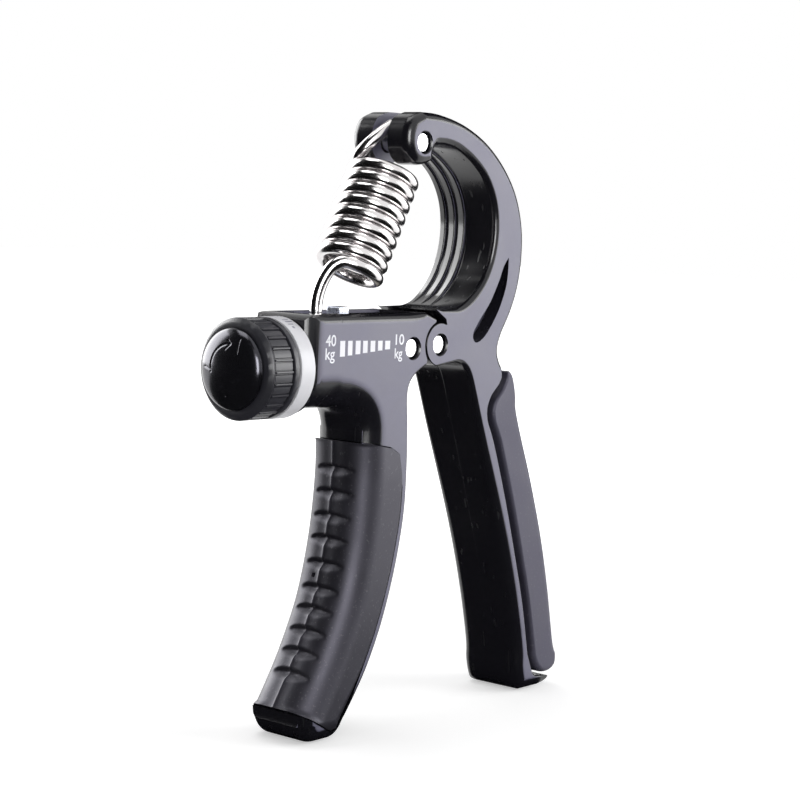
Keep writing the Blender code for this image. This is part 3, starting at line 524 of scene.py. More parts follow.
SLEEVE_RUBBER = soft_rubber("sleeve_rubber", (0.0100, 0.0095, 0.0130), 0.42)
PALM_RUBBER = soft_rubber("palm_rubber", (0.036, 0.034, 0.052), 0.50)
print("rubbers ready")

# %% [markdown]
# The spring is chromed, the pins are turned steel and the nut is zinc plated. Metal needs only
# its colour, Metallic at 1 and a roughness; the smudges and faint turning marks keep a large
# disc from being one flat tone. A bought texture would not follow the parts' own scale.

# %% Metal finishes
def plated(name, colour, rough, patch_rough, turned=0.0):
    """Plated or turned metal: an even mirror, broken by smudges and, if asked, turning marks."""
    grain = (600.0, turned, 1.25 * GRAIN_DEPTH) if turned else None
    made, shader = even_finish(name, colour, rough, smudges=140.0, gain=0.94,
                               patch_rough=patch_rough, grain=grain)
    shader["Metallic"].default_value = 1.0
    return made


SPRING_CHROME = plated("spring_chrome", (0.80, 0.775, 0.775), 0.16, 0.03)
PIN_STEEL = plated("pin_steel", (0.90, 0.90, 0.91), 0.16, 0.10, turned=0.12)
NUT_ZINC = plated("nut_zinc", (0.62, 0.65, 0.74), 0.24, 0.12, turned=0.2)
SCREW_STEEL = plated("screw_steel", (0.80, 0.80, 0.80), 0.14, 0.08, turned=0.1)
print("metals ready")

# %% [markdown]
# The white ring, the nylon bushes and the two inks are pale and even. They share one finish
# with a very fine grain, so that the light rolls off softly, and differ by colour and
# roughness alone.

# %% Pale finishes
def pale_moulding(name, colour, rough, gain):
    return even_finish(name, colour, rough, smudges=120.0, gain=gain, patch_rough=0.1,
                       grain=(3600.0, 0.15, GRAIN_DEPTH))[0]


RING_WHITE = pale_moulding("ring_white", (0.65, 0.65, 0.68), 0.34, 0.97)
SCALE_INK = pale_moulding("scale_ink", (0.80, 0.80, 0.85), 0.5, 0.93)
RING_INK = pale_moulding("ring_ink", (0.22, 0.22, 0.27), 0.5, 1.2)
NYLON = pale_moulding("nylon", (0.62, 0.60, 0.54), 0.42, 0.92)
print("pale mouldings ready")

# %% [markdown]
# ## Drawing outlines
# The frame, the handle and both grips are all thick plates with rounded edges, drawn in one
# plane and given their width across it. Tracing a few points and passing a smooth curve
# through them is quicker than placing every vertex and leaves no flat spots. All lines are in
# millimetres about the pivot pin: x towards the palm, y to the back, z up.

# %% Outline helpers
POINTS_MEET = 0.1
EVENED_TIMES = 6


def unit(way):
    return way / np.linalg.norm(way)


def ease(value):
    """A smooth step from 0 to 1."""
    value = np.clip(value, 0.0, 1.0)
    return value * value * (3 - 2 * value)


def smooth(points, steps=6):
    """A curve that passes through all the given points."""
    points = np.asarray(points, float)
    line = []
    for i in range(len(points) - 1):
        before, a = points[max(i - 1, 0)], points[i]
        b, after = points[i + 1], points[min(i + 2, len(points) - 1)]
        for t in np.arange(steps) / steps:
            line.append(0.5 * (2 * a + (b - before) * t + (2 * before - 5 * a + 4 * b - after) * t * t
                               + (3 * a - before - 3 * b + after) * t ** 3))
    return np.array(line + [points[-1]])


def arc(x, z, radius, start, end, steps):
    turn = np.radians(np.linspace(start, end, steps + 1))
    return np.column_stack((x + radius * np.cos(turn), z + radius * np.sin(turn)))


def level_run(start, end, height, count):
    """Evenly spaced points along a straight level edge."""
    return np.column_stack((np.linspace(start, end, count), np.full(count, height)))


def moved(line, distance):
    """A line shifted to its left side, by one distance or by one for each point."""
    line = np.asarray(line, float)
    along = np.gradient(line, axis=0)
    along /= np.linalg.norm(along, axis=1)[:, None]
    return line + np.column_stack((-along[:, 1], along[:, 0])) * np.reshape(distance, (-1, 1))


def lengthened(line, amount, points=1):
    """A line with both ends carried on in their own direction, by one point or by several."""
    line = np.asarray(line, float)
    if not amount:
        return line
    steps = (np.arange(points) + 1)[:, None] * amount / points
    start = line[0] + unit(line[0] - line[1]) * steps[::-1]
    end = line[-1] + unit(line[-1] - line[-2]) * steps
    return np.vstack((start, line, end))


def evened(values, times):
    """Numbers round a loop, each drawn towards its neighbours."""
    for _ in range(times):
        values = (np.roll(values, 1) + 2 * values + np.roll(values, -1)) / 4
    return values


def joined(runs):
    """One closed outline from runs of (points, edge radius), with the radii evened out."""
    outline, radii = [], []
    for points, radius in runs:
        for point, edge in zip(points, np.broadcast_to(radius, len(points))):
            if not outline or math.dist(point, outline[-1]) > POINTS_MEET:
                outline.append(tuple(point))
                radii.append(edge)
    if math.dist(outline[0], outline[-1]) < POINTS_MEET:
        outline.pop()
        radii.pop()
    return np.array(outline), evened(np.array(radii), EVENED_TIMES)


def by_height(line, heights, edges):
    """An edge radius for each point, read off a short table by height."""
    return np.interp(np.asarray(line)[:, 1], heights, edges)


print("outline helpers ready")

# %% [markdown]
# Where an outline turns tightly, rounding its edge would make the drawn-in line cross itself.
# The next helper finds such stretches, all pairs at once with numpy, and lowers the radius
# there until the line is clean, then lets the change run out gently on both sides. It matters,
# because a folded mesh can't be cut or joined, and a sudden change of radius shows as a lump.

# %% Edge radii that never fold
FOLD_TRIES = 80
FOLD_SHRINK = 0.85
FOLD_REACH = 14
LEAST_STEP = 0.15
FOLD_EVENED = 10


def inward_of(line):
    """The way into a closed outline at each of its points."""
    along = np.roll(line, -1, axis=0) - np.roll(line, 1, axis=0)
    along /= np.linalg.norm(along, axis=1)[:, None]
    return np.column_stack((-along[:, 1], along[:, 0]))


def side_of(a, b, c):
    """Positive where c lies to the left of the line from a to b."""
    ab, ac = b - a, c - a
    return ab[..., 0] * ac[..., 1] - ab[..., 1] * ac[..., 0]


def unfolded(line, inward, wanted):
    """The wanted edge radii, lowered where the drawn-in line would turn back or cross itself."""
    radii = wanted.copy()
    count = len(line)
    ahead = np.roll(line, -1, axis=0) - line
    least = LEAST_STEP * np.einsum("ij,ij->i", ahead, ahead)
    first, second = np.triu_indices(count, 2)
    keep = ~((first == 0) & (second == count - 1))
    first, second = first[keep], second[keep]
    for _ in range(FOLD_TRIES):
        drawn = line + inward * radii[:, None]
        following = np.roll(drawn, -1, axis=0)
        short = np.einsum("ij,ij->i", following - drawn, ahead) < least
        shrink = short | np.roll(short, 1)
        a, b, c, d = drawn[first], following[first], drawn[second], following[second]
        hit = (side_of(a, b, c) * side_of(a, b, d) < 0) & (side_of(c, d, a) * side_of(c, d, b) < 0)
        for i, k in zip(first[hit], second[hit]):
            if k - i < FOLD_REACH:
                shrink[np.arange(i, k + 2) % count] = True
            else:
                shrink[[i, (i + 1) % count, k, (k + 1) % count]] = True
        if not shrink.any():
            break
        radii[shrink] *= FOLD_SHRINK
    share = radii / np.maximum(wanted, 0.01)
    for _ in range(FOLD_EVENED):
        share = np.minimum(share, evened(share, 1))
    return wanted * share


print("fold guard ready")

# %% [markdown]
# ## From outline to solid
# A plate is a stack of copies of its outline. Towards each face the copies step inwards along
# a quarter circle, so every long edge comes out round. A relief adds or takes away a little at
# each point, for mould lines and finger grooves. Round parts are turned on a lathe instead.

# %% Skins
def new_object(name, data):
    """An object at the pivot pin, which all the lines are measured from."""
    obj = linked(name, data)
    obj.location = PIVOT
    return obj


def bmesh_object(name, bm):
    mesh = bpy.data.meshes.new(name)
    bm.to_mesh(mesh)
    bm.free()
    return new_object(name, mesh)


def from_rings(name, rings, round_trip=False):
    """A skin over rings of points in millimetres; a ring of one point is a pole."""
    bm = bmesh.new()
    loops = [[bm.verts.new([c * MM for c in point]) for point in ring] for ring in rings]
    pairs = list(zip(loops, loops[1:]))
    if round_trip:
        pairs.append((loops[-1], loops[0]))
    for low, high in pairs:
        sides = max(len(low), len(high))
        for i in range(sides):
            j = (i + 1) % sides
            if len(low) == 1:
                bm.faces.new((low[0], high[j], high[i]))
            elif len(high) == 1:
                bm.faces.new((low[i], low[j], high[0]))
            else:
                bm.faces.new((low[i], low[j], high[j], high[i]))
    if not round_trip:
        for loop in (loops[0], loops[-1]):
            if len(loop) > 1:
                bm.faces.new(loop)
    bm.normal_update()
    bmesh.ops.recalc_face_normals(bm, faces=bm.faces)
    return bmesh_object(name, bm)


print("skins ready")


# %% Plates and blocks
def plate(name, outline, radii, half, steps=8, middle=(), relief=None, centre=0.0):
    """A thick plate from its outline, the edge radius at each point and half its width.

    Without radii its edges are sharp. Middle levels and a relief shape the skin between."""
    line = np.asarray(outline, float)
    inward = inward_of(line)
    if radii is None:
        turns, radii = np.zeros(1), np.zeros(len(line))
    else:
        turns = np.linspace(0.0, math.pi / 2, steps + 1)
        radii = unfolded(line, inward, np.asarray(radii, float))
    levels = [(-1, t) for t in turns[::-1]] + [(0, y) for y in middle] + [(1, t) for t in turns]
    rings = []
    for side, turn in levels:
        if side:
            across = side * (half - radii + radii * math.sin(turn))
            drawn = radii * (1 - math.cos(turn))
        else:
            across, drawn = np.full(len(line), float(turn)), np.zeros(len(line))
        if relief:
            drawn = drawn + relief(line, across)
        flat = line + inward * drawn[:, None]
        rings.append(np.column_stack((flat[:, 0], across + centre, flat[:, 1])))
    return from_rings(name, rings)


def block(name, low, high, edge=0.0):
    """A box between two corners, with its edges rounded if asked."""
    low, high = np.minimum(low, high), np.maximum(low, high)
    bm = bmesh.new()
    bmesh.ops.create_cube(bm, size=1.0)
    for vert in bm.verts:
        vert.co = [(low[k] if vert.co[k] < 0 else high[k]) * MM for k in range(3)]
    if edge:
        bmesh.ops.bevel(bm, geom=bm.edges[:], offset=edge * MM, segments=3, affect="EDGES", profile=0.5)
    return bmesh_object(name, bm)


print("plates and blocks ready")

# %% Turned parts
SCREW_DROP = (PIVOT.z - SCREW_LINE.z) / MM


def even_turn(sides):
    return 2 * math.pi * np.arange(sides) / sides


def lathe(name, profile, sides=64, across=None, closed=False, dip=None):
    """Turns a profile of (place, radius) on the screw's axis, or on an axis across at (x, z).

    Sides is a number of even steps or a list of angles. Dip says how far a ring lies inside."""
    turn = even_turn(sides) if isinstance(sides, int) else np.asarray(sides)
    rings = []
    for k, (place, radius) in enumerate(profile):
        if radius <= 0:
            spread = np.zeros(1)
        else:
            spread = np.full(len(turn), float(radius))
            if dip:
                spread = spread - dip(k, turn)
        at = turn[:len(spread)]
        one, two = spread * np.cos(at), spread * np.sin(at)
        along = np.full(len(spread), float(place))
        if across is None:
            rings.append(np.column_stack((along, one, two - SCREW_DROP)))
        else:
            rings.append(np.column_stack((across[0] + one, along, across[1] + two)))
    return from_rings(name, rings, round_trip=closed)


def rod(name, start, end, radius, sides=48, across=None):
    """A plain round rod between two places on its axis."""
    return lathe(name, [(start, 0), (start, radius), (end, radius), (end, 0)], sides, across)


def bar(name, across, radius, half, sides=64):
    """A plain round bar that lies across the product."""
    return rod(name, -half, half, radius, sides, across)


print("screw line", round(SCREW_DROP, 2), "mm under the pivot")

# %% [markdown]
# ## Cutting and joining
# Holes, slots and joined lugs are made with the Boolean modifier, as in any CAD program. Its
# result is kept as a plain mesh and the cutters are thrown away. Edges sharper than an angle
# are then marked, and weighted normals keep the large flat faces flat beside round edges.

# %% Boolean helpers
MERGED_WITHIN = 0.003
FLAT_WITHIN = 0.001
JUST_PROUD = 0.001


def mesh_of(obj):
    """What an object's modifiers or its text make, as a mesh of its own."""
    graph = bpy.context.evaluated_depsgraph_get()
    return bpy.data.meshes.new_from_object(obj.evaluated_get(graph))


def settle(target):
    """Keeps what the modifiers make as the mesh itself, with points that all but meet merged."""
    final = mesh_of(target)
    bm = bmesh.new()
    bm.from_mesh(final)
    bmesh.ops.remove_doubles(bm, verts=bm.verts[:], dist=MERGED_WITHIN * MM)
    bmesh.ops.dissolve_degenerate(bm, edges=bm.edges[:], dist=FLAT_WITHIN * MM)
    bm.to_mesh(final)
    bm.free()
    target.modifiers.clear()
    target.data = final


def carve(target, cuts=(), joins=(), limits=()):
    """Joins, then keeps what lies within the limits, then cuts. The tools are used up."""
    tools = [(tool, "UNION") for tool in joins] + [(tool, "INTERSECT") for tool in limits]
    tools += [(tool, "DIFFERENCE") for tool in cuts]
    for tool, operation in tools:
        made = target.modifiers.new(tool.name, "BOOLEAN")
        made.operation = operation
        made.object = tool
        made.solver = "EXACT"
        settle(target)
        bpy.data.objects.remove(tool, do_unlink=True)
    return target


def sole_rounding(name, half, level, radius, span):
    """What to take off a foot's two long lower edges, so that they are left round."""
    turn = np.linspace(0, math.pi / 2, 14)
    bend = [(half + JUST_PROUD - radius * (1 - math.sin(t)), level + radius * (1 - math.cos(t)))
            for t in turn]
    section = [(half + 4, level - 4), (half - radius, level - 4)] + bend + [(half + 4, level + radius)]
    return [from_rings(f"{name}_{side}", [[(x, side * y, z) for y, z in section] for x in span])
            for side in (-1, 1)]


print("cutting helpers ready")


# %% Shading helpers
def dress(piece, finish, replaced=(), sharp=38.0):
    """Shades a piece, gives it its finish and hides the nodes it stands for."""
    piece.data.materials.clear()
    piece.data.materials.append(finish)
    piece.data.shade_smooth()
    piece.data.set_sharp_from_angle(angle=math.radians(sharp))
    if replaced:
        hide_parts(*replaced)
    bm = bmesh.new()
    bm.from_mesh(piece.data)
    open_edges = sum(1 for edge in bm.edges if not edge.is_manifold)
    bm.free()
    size = [round(d / MM, 1) for d in piece.dimensions]
    print(piece.name, "| faces", len(piece.data.polygons), "| open edges", open_edges, "| mm", size)


def place_piece(piece, body, finish, replaced=(), sharp=38.0):
    """A dressed piece that rides on one body."""
    dress(piece, finish, replaced, sharp)
    weighted = piece.modifiers.new("flat_faces_stay_flat", "WEIGHTED_NORMAL")
    weighted.keep_sharp = True
    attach(piece, body)


print("shading helpers ready")

# %% [markdown]
# ## The lines of the product
# Each run below is one stretch of an edge: the back of the C, its tip, its inner curve, the
# legs, the grips. Pieces that meet share a run, moved sideways by the gap between them, so
# their seam stays even from end to end. An outline is then a short table of runs, each with the
# radius of its edges, which may change along the run.

# %% Lines
BODY_HALF = 9.8
GAP = 0.3
C_OUTER = [(26.2, -6.2), (24.7, -2.4), (25.8, 1.6), (29.4, 7.4), (32.1, 13.7), (33.5, 21.2), (33.2, 29.8),
           (30.2, 38.4), (24.6, 45.6), (16.8, 51.6), (7.6, 55.6), (-2.0, 57.7), (-9.0, 57.9)]
TIP_END = [(-9.0, 57.9), (-13.2, 56.2), (-15.1, 52.4), (-14.6, 48.2), (-12.3, 45.6), (-9.0, 44.8),
           (-5.8, 45.8), (-4.4, 48.2), (-3.6, 49.9)]
C_INNER = [(-3.6, 49.9), (0.0, 50.2), (5.0, 49.4), (11.0, 46.5), (16.3, 42.2), (19.9, 36.2), (21.0, 29.5),
           (20.0, 22.6), (17.0, 16.4), (12.2, 11.6), (6.6, 9.1), (0.6, 8.8)]
THROAT = [(0.6, 8.8), (-2.4, 8.7), (1.7, 6.3)]
PALM_INNER = [(6.2, -4.7), (9.6, -5.4), (12.2, -7.8), (14.6, -13.2), (18.9, -25.0), (25.4, -42.5),
              (30.3, -56.5), (34.6, -70.5), (37.9, -84.0), (38.4, -89.5), (39.6, -93.6), (41.6, -95.6)]
SOLE_LEVEL = -96.0
PALM_SOLE = [(42.6, SOLE_LEVEL), (49.6, SOLE_LEVEL)]
PALM_TOE = [(51.8, -94.6), (52.6, -93.2), (49.8, -92.7), (47.2, -92.2), (45.6, -91.0)]
PALM_SEAM = [(43.2, -85.6), (39.9, -71.4), (35.5, -57.3), (30.3, -41.9), (24.4, -26.6), (21.3, -20.6)]
PALM_SHOULDER = [(21.3, -20.6), (20.9, -17.4), (22.3, -14.2), (25.3, -11.4), (26.6, -9.0), (26.2, -6.2)]
PAD_SHOULDER = [(28.2, -8.0), (28.2, -9.8), (26.6, -12.6), (23.9, -15.4), (22.9, -18.2), (23.5, -21.0)]
PAD_FOOT = [(45.2, -86.6), (47.0, -90.0), (49.6, -91.8), (53.4, -92.0), (56.0, -90.4), (56.6, -87.0)]
PAD_OUTER = [(56.6, -87.0), (55.0, -79.6), (52.3, -67.6), (48.3, -53.4), (42.6, -37.7), (36.9, -24.2),
             (33.6, -15.6), (31.2, -9.6), (29.4, -7.8), (28.2, -8.0)]
PAD_BACK_LAST = 6
FINGER_INNER = [(-4.9, -4.9), (-9.3, -7.4), (-11.3, -9.9), (-11.8, -13.2), (-11.3, -20.0),
                (-11.0, -29.4), (-11.3, -40.0), (-12.7, -49.0), (-15.1, -58.7), (-18.7, -69.2),
                (-23.1, -78.6), (-27.6, -87.0), (-30.4, -92.0)]
FINGER_OUTER = [(-28.4, -24.2), (-28.3, -32.0), (-29.2, -42.7), (-30.8, -52.2), (-33.5, -62.4),
                (-37.2, -71.0), (-41.2, -78.6), (-46.4, -87.0)]
TOE_RADIUS = 5.0
TOE_OUTSIDE = (-40.4, SOLE_LEVEL + TOE_RADIUS)
TOE_INSIDE = (-35.6, SOLE_LEVEL + TOE_RADIUS)
SLEEVE_HEAD = [(-60.0, -23.3), (-27.6, -23.3), (-22.8, -24.0), (-18.0, -24.9), (-14.9, -26.5)]
SLEEVE_FOOT = [(-33.4, -92.6), (-35.2, -93.6), (-37.4, -93.2), (-44.2, -89.4), (-47.0, -87.9),
               (-60.0, -80.9)]
TEARDROP = [(26.9, 22.3), (25.0, 20.1), (22.9, 15.8), (19.7, 10.6), (15.8, 6.3), (13.2, 2.8), (13.6, 0.6),
            (15.6, 0.4), (18.9, 2.6), (23.4, 8.4), (26.4, 15.3), (26.9, 22.3)]
STRIP = FINGER_INNER[5:13]
FINGER_RIB_LINE = FINGER_INNER[4:13]
print("outer curve", len(C_OUTER), "points, legs", len(PALM_INNER), "and", len(FINGER_INNER))

# %% Pins and holes
TIP_PIN = (-9.0, 50.4)
HOOK_PIN = (-32.3, 4.6)
CROSS_PIN = (-10.6, -0.65)
PIN_RADIUS = 2.35
PIN_HOLE = PIN_RADIUS + 0.35
LUG_RADIUS = 5.5
TONGUE_RADIUS = 5.6
TONGUE_HALF = 4.2
WASHER_THICK = 0.6


def pin_hole(name, across):
    """A through hole with a small countersink at both faces."""
    rim, lip, past = BODY_HALF - 0.22, PIN_HOLE + 0.24, 12.0
    half_profile = [(past, 0), (past, lip), (BODY_HALF, lip), (rim, PIN_HOLE)]
    profile = [(-place, radius) for place, radius in half_profile] + half_profile[::-1]
    return lathe(name, profile, 72, across)


MOULD_DEEP, MOULD_WIDE = 0.04, 0.09


def mould_line(_, across):
    """A hair-thin sunk line where the two halves of the mould met."""
    return MOULD_DEEP * np.exp(-(across / MOULD_WIDE) ** 2)


MOULD_LEVELS = (-0.3, -0.12, -0.04, 0.04, 0.12, 0.3)
print("pins at", TIP_PIN, CROSS_PIN, HOOK_PIN)

# %% [markdown]
# ## The frame
# The frame is one moulding: a C whose tip is a fork for the spring, a pair of ears round the
# pivot, and the palm leg. Its inner curve has three lengthwise ribs near the far edge, which
# catch thin upright glints. A blind teardrop recess thins the wall on both faces.

# %% Frame blank
PALM_EDGE = ((-60.0, -45.0, -29.0, -18.0), (3.3, 2.9, 1.9, 1.3))
palm_inner = smooth(PALM_INNER, 5)
c_outer = smooth(C_OUTER, 6)
c_inner = smooth(C_INNER, 6)[:-5]
frame_line, frame_radii = joined([
    (c_outer, np.interp(c_outer[:, 0], (-9.0, 6.0), (2.7, 2.0))),
    (smooth(TIP_END, 6), 2.7),
    (c_inner, np.interp(np.arange(len(c_inner)), (0, 12), (2.5, 1.6))),
    (THROAT, 0.3),
    (arc(0, 0, LUG_RADIUS, 66, 262, 40), 0.25),
    (palm_inner, by_height(palm_inner, *PALM_EDGE)),
    (PALM_SOLE, 1.6),
    (smooth(PALM_TOE, 4), 0.9),
    (smooth(PALM_SEAM, 4), 0.8),
    (smooth(PALM_SHOULDER, 4), 0.8),
])
frame_shell = plate("frame_shell", frame_line, frame_radii, BODY_HALF, steps=11,
                    middle=MOULD_LEVELS, relief=mould_line)
print("frame outline", len(frame_line), "points")

# %% Rib of the palm leg
PALM_RIB_LONGER = 3.0
PALM_RIB_IN_PAD, PALM_RIB_IN_LEG = 6.5, 2.2
PALM_RIB_HALF = 5.5
palm_seam = smooth(PALM_SEAM[:-1], 4)


def palm_core(name, grow):
    """The rib inside the palm leg's grip, or the channel for it."""
    seam = lengthened(palm_seam, PALM_RIB_LONGER + grow)
    rib = np.vstack((moved(seam, -PALM_RIB_IN_PAD - grow), moved(seam, PALM_RIB_IN_LEG)[::-1]))
    return plate(name, rib, None, PALM_RIB_HALF + grow)


print("palm rib", 2 * PALM_RIB_HALF, "mm wide")

# %% Frame ribs
RIBS = [("inner_rib_1", 0.5, 3.2, 0.75), ("inner_rib_2", 3.75, 6.35, 0.75), ("inner_rib_3", 7.0, 9.3, 0.6)]
RIB_LEAN = math.tan(math.radians(13))
RIB_FADE = 8.0
RIB_ROOT, RIB_SINK = 1.2, 0.12
RIB_EDGE = 0.4
ribs_run = smooth(C_INNER[1:-1], 6)


def inner_rib(name, low, high, height):
    """A raised band along the inside of the C, fading out at both ends."""
    count = len(ribs_run)
    fade = ease(np.minimum(np.arange(count), np.arange(count)[::-1]) / RIB_FADE)
    near, far = moved(ribs_run, -height * fade + RIB_SINK), moved(ribs_run, RIB_ROOT)[::-1]
    crown = [RIB_EDGE] * count + [0.0] * count
    half = (high - low) / 2
    facing = np.arange(2 * count) < count

    def lean(_, across):
        return np.where(facing, (across + half) * RIB_LEAN, 0.0)

    return plate(name, np.vstack((near, far)), crown, half, steps=5, relief=lean, centre=(low + high) / 2)


carve(frame_shell, joins=[inner_rib(*rib) for rib in RIBS] + [palm_core("palm_rib", 0.0)])
print("ribs", len(RIBS), "faces", len(frame_shell.data.polygons))

# %% Frame holes
EAR_INSIDE = TONGUE_HALF + WASHER_THICK + 2 * GAP
TEARDROP_DEEP = 4.0
PALM_SOLE_RADIUS = 3.8
drop = smooth(TEARDROP, 5)[:-1]
frame_cuts = [
    bar("tongue_pocket", (0, 0), TONGUE_RADIUS + GAP, EAR_INSIDE),
    block("tip_slot", (-20, -2.6, 40), (-2, 2.6, 62)),
    pin_hole("pivot_hole", (0, 0)),
    pin_hole("tip_hole", TIP_PIN),
]
for side in (-1, 1):
    frame_cuts.append(plate(f"teardrop_{side}", drop, None, TEARDROP_DEEP, centre=side * BODY_HALF))
frame_cuts += sole_rounding("palm_sole", BODY_HALF, SOLE_LEVEL, PALM_SOLE_RADIUS, (30.0, 62.0))
carve(frame_shell, cuts=frame_cuts)
place_piece(frame_shell, "frame", BLACK_MOULDING, ["c_frame"])

# %% [markdown]
# ## The palm grip
# A satin rubber back that is pushed on to a rib of the palm leg. Its long seam stays a dark
# two-millimetre groove, its back edge is rolled for the heel of the hand, and its top is cut
# in a small S. It is a plate like the frame, with a wider edge radius along the back.

# %% Palm grip
PAD_PROUD = 0.2
PAD_GROOVE = 2.0
pad_line, pad_radii = joined([
    (smooth(PAD_SHOULDER, 4), 0.9),
    (moved(palm_seam, -PAD_GROOVE)[::-1], 0.9),
    (smooth(PAD_FOOT, 4), 1.5),
    (smooth(PAD_OUTER[:PAD_BACK_LAST + 1], 6), 3.4),
    (smooth(PAD_OUTER[PAD_BACK_LAST:], 4), 1.0),
])
palm_grip = plate("palm_grip", pad_line, pad_radii, BODY_HALF + PAD_PROUD,
                  middle=MOULD_LEVELS, relief=mould_line)
carve(palm_grip, cuts=[palm_core("pad_channel", GAP)])
place_piece(palm_grip, "frame", PALM_RUBBER, ["palm_pad"])

# %% [markdown]
# ## The handle
# The handle is the other moulding: an arm that holds the screw, a tongue between the frame's
# ears, and the finger leg with its bare toe. The arm's underside is half round, which is why
# its front face fades to black there. The nut runs in a slot that is open at the top.

# %% Handle blank
ARM_END = -48.4
ARM_TOP = 8.2
ARM_UNDER = -15.0
ARM_SPARE = 14.0
NECK_X, NECK_RADIUS = -27.2, 6.0
FINGER_EDGE = ((-93.0, -89.0, -80.0), (4.0, 2.8, 0.9))
TOE_EDGE = 4.1
finger_inner = smooth(FINGER_INNER, 5)[::-1]
finger_outer = moved(smooth(FINGER_OUTER[1:], 5), 1.0)
handle_line, handle_radii = joined([
    ([(-1.7, 6.6)], 0.6),
    (level_run(-5.4, ARM_END - ARM_SPARE, ARM_TOP, 40), 2.5),
    (level_run(ARM_END - ARM_SPARE, -36.0, ARM_UNDER, 24), 9.3),
    (arc(NECK_X - NECK_RADIUS, ARM_UNDER - NECK_RADIUS, NECK_RADIUS, 90, 0, 12), 7.5),
    (finger_outer, by_height(finger_outer, (-86.0, -76.0), (3.6, 7.5))),
    (arc(*TOE_OUTSIDE, TOE_RADIUS, 180, 270, 14), TOE_EDGE),
    (level_run(TOE_OUTSIDE[0], TOE_INSIDE[0], SOLE_LEVEL, 6), TOE_EDGE),
    (arc(*TOE_INSIDE, TOE_RADIUS, 270, 331, 9), TOE_EDGE),
    (finger_inner, by_height(finger_inner, *FINGER_EDGE)),
    (arc(0, 0, TONGUE_RADIUS + GAP, 219, 108, 24), 0.3),
])
handle_shell = plate("handle_shell", handle_line, handle_radii, BODY_HALF, steps=10)
print("handle outline", len(handle_line), "points")

# %% Space for the sleeve
STRIP_WIDE = 1.8
SLEEVE_REACH = 21.0
FINGER_RIB_UNDER, FINGER_RIB_INSIDE = 2.8, 0.9
FINGER_RIB_PAST = 3.5
FINGER_RIB_HALF = 7.0


def strip_line(width):
    """The edge of the bare strip of plastic down the finger leg's inner side."""
    return moved(smooth(STRIP, 5), -width)


def sleeve_space(name, clearance):
    """All that the sleeve may fill, between its head, its foot and the bare strip."""
    foot = moved(smooth(SLEEVE_FOOT, 3), -clearance)[::-1]
    head = moved(SLEEVE_HEAD, -clearance)[::-1]
    strip = strip_line(STRIP_WIDE + clearance)[3:][::-1]
    return plate(name, np.vstack((foot, strip, head)), None, SLEEVE_REACH)


def finger_core(name, grow):
    """The rib inside the finger sleeve, or the channel for it."""
    outer = moved(lengthened(smooth(FINGER_OUTER, 4), FINGER_RIB_PAST + grow), FINGER_RIB_UNDER - grow)
    inner = moved(lengthened(smooth(FINGER_RIB_LINE, 4), grow), -FINGER_RIB_INSIDE + 3 * grow)
    return plate(name, np.vstack((outer, inner[::-1])), None, FINGER_RIB_HALF + grow)


carve(handle_shell, cuts=[
    sleeve_space("sleeve_cut", 0.0),
    block("arm_end_trim", (ARM_END - 2 * ARM_SPARE, -20, -30), (ARM_END, 20, 16)),
])
print("handle after the sleeve's space:", len(handle_shell.data.polygons), "faces")

# %% [markdown]
# The arm ends in a round flange and a spigot that carry the white ring and the knob. The
# front face bends away to meet the flange: a block with a round cut out of it takes that
# corner off, and gives the soft dark band beside the ring.

# %% Arm end
FLANGE_RADIUS, FLANGE_DEEP = 11.6, 1.5
FLANGE_HALF = 9.78
SPIGOT_RADIUS = 7.7


def cove_section(level, radius, start, reach):
    """What is taken off an edge of the arm's end, cut through, so that it rolls to the flange.

    Level is the face's place, and the roll starts so far from the arm's end."""
    turn = np.linspace(0, math.asin(start / radius), 12)
    roll = list(zip(ARM_END + start - radius * np.sin(turn),
                    level + JUST_PROUD - radius * (1 - np.cos(turn))))[::-1]
    past = [(ARM_END + reach, level + 3), (ARM_END - 3, level + 3), (ARM_END - 3, roll[0][1])]
    return past + roll + [(ARM_END + reach, level + JUST_PROUD)]


coves = []
for side in (-1, 1):
    section = cove_section(BODY_HALF, radius=7.6, start=5.2, reach=8)
    coves.append(from_rings(f"end_cove_{side}", [[(x, side * y, z) for x, y in section]
                                                 for z in (-24.0, 12.0)]))
section = cove_section(ARM_TOP, radius=4.2, start=3.1, reach=6)
coves.append(from_rings("top_cove", [[(x, y, z) for x, z in section] for y in (-14.0, 14.0)]))
flange = lathe("end_flange", [
    (ARM_END, 0), (ARM_END, FLANGE_RADIUS - 0.3), (ARM_END + 0.1, FLANGE_RADIUS - 0.08),
    (ARM_END + 0.3, FLANGE_RADIUS), (ARM_END + FLANGE_DEEP, FLANGE_RADIUS), (ARM_END + FLANGE_DEEP, 0)], 96)
carve(flange, cuts=[block(f"flange_flat_{side}", (ARM_END - 4, side * FLANGE_HALF, -28),
                          (ARM_END + 4, side * 2 * BODY_HALF, 18)) for side in (-1, 1)])
spigot = rod("spigot", ARM_END - 4.2, ARM_END + 1.4, SPIGOT_RADIUS, 64)
print("flange", 2 * FLANGE_RADIUS, "mm across, spigot", 2 * SPIGOT_RADIUS)

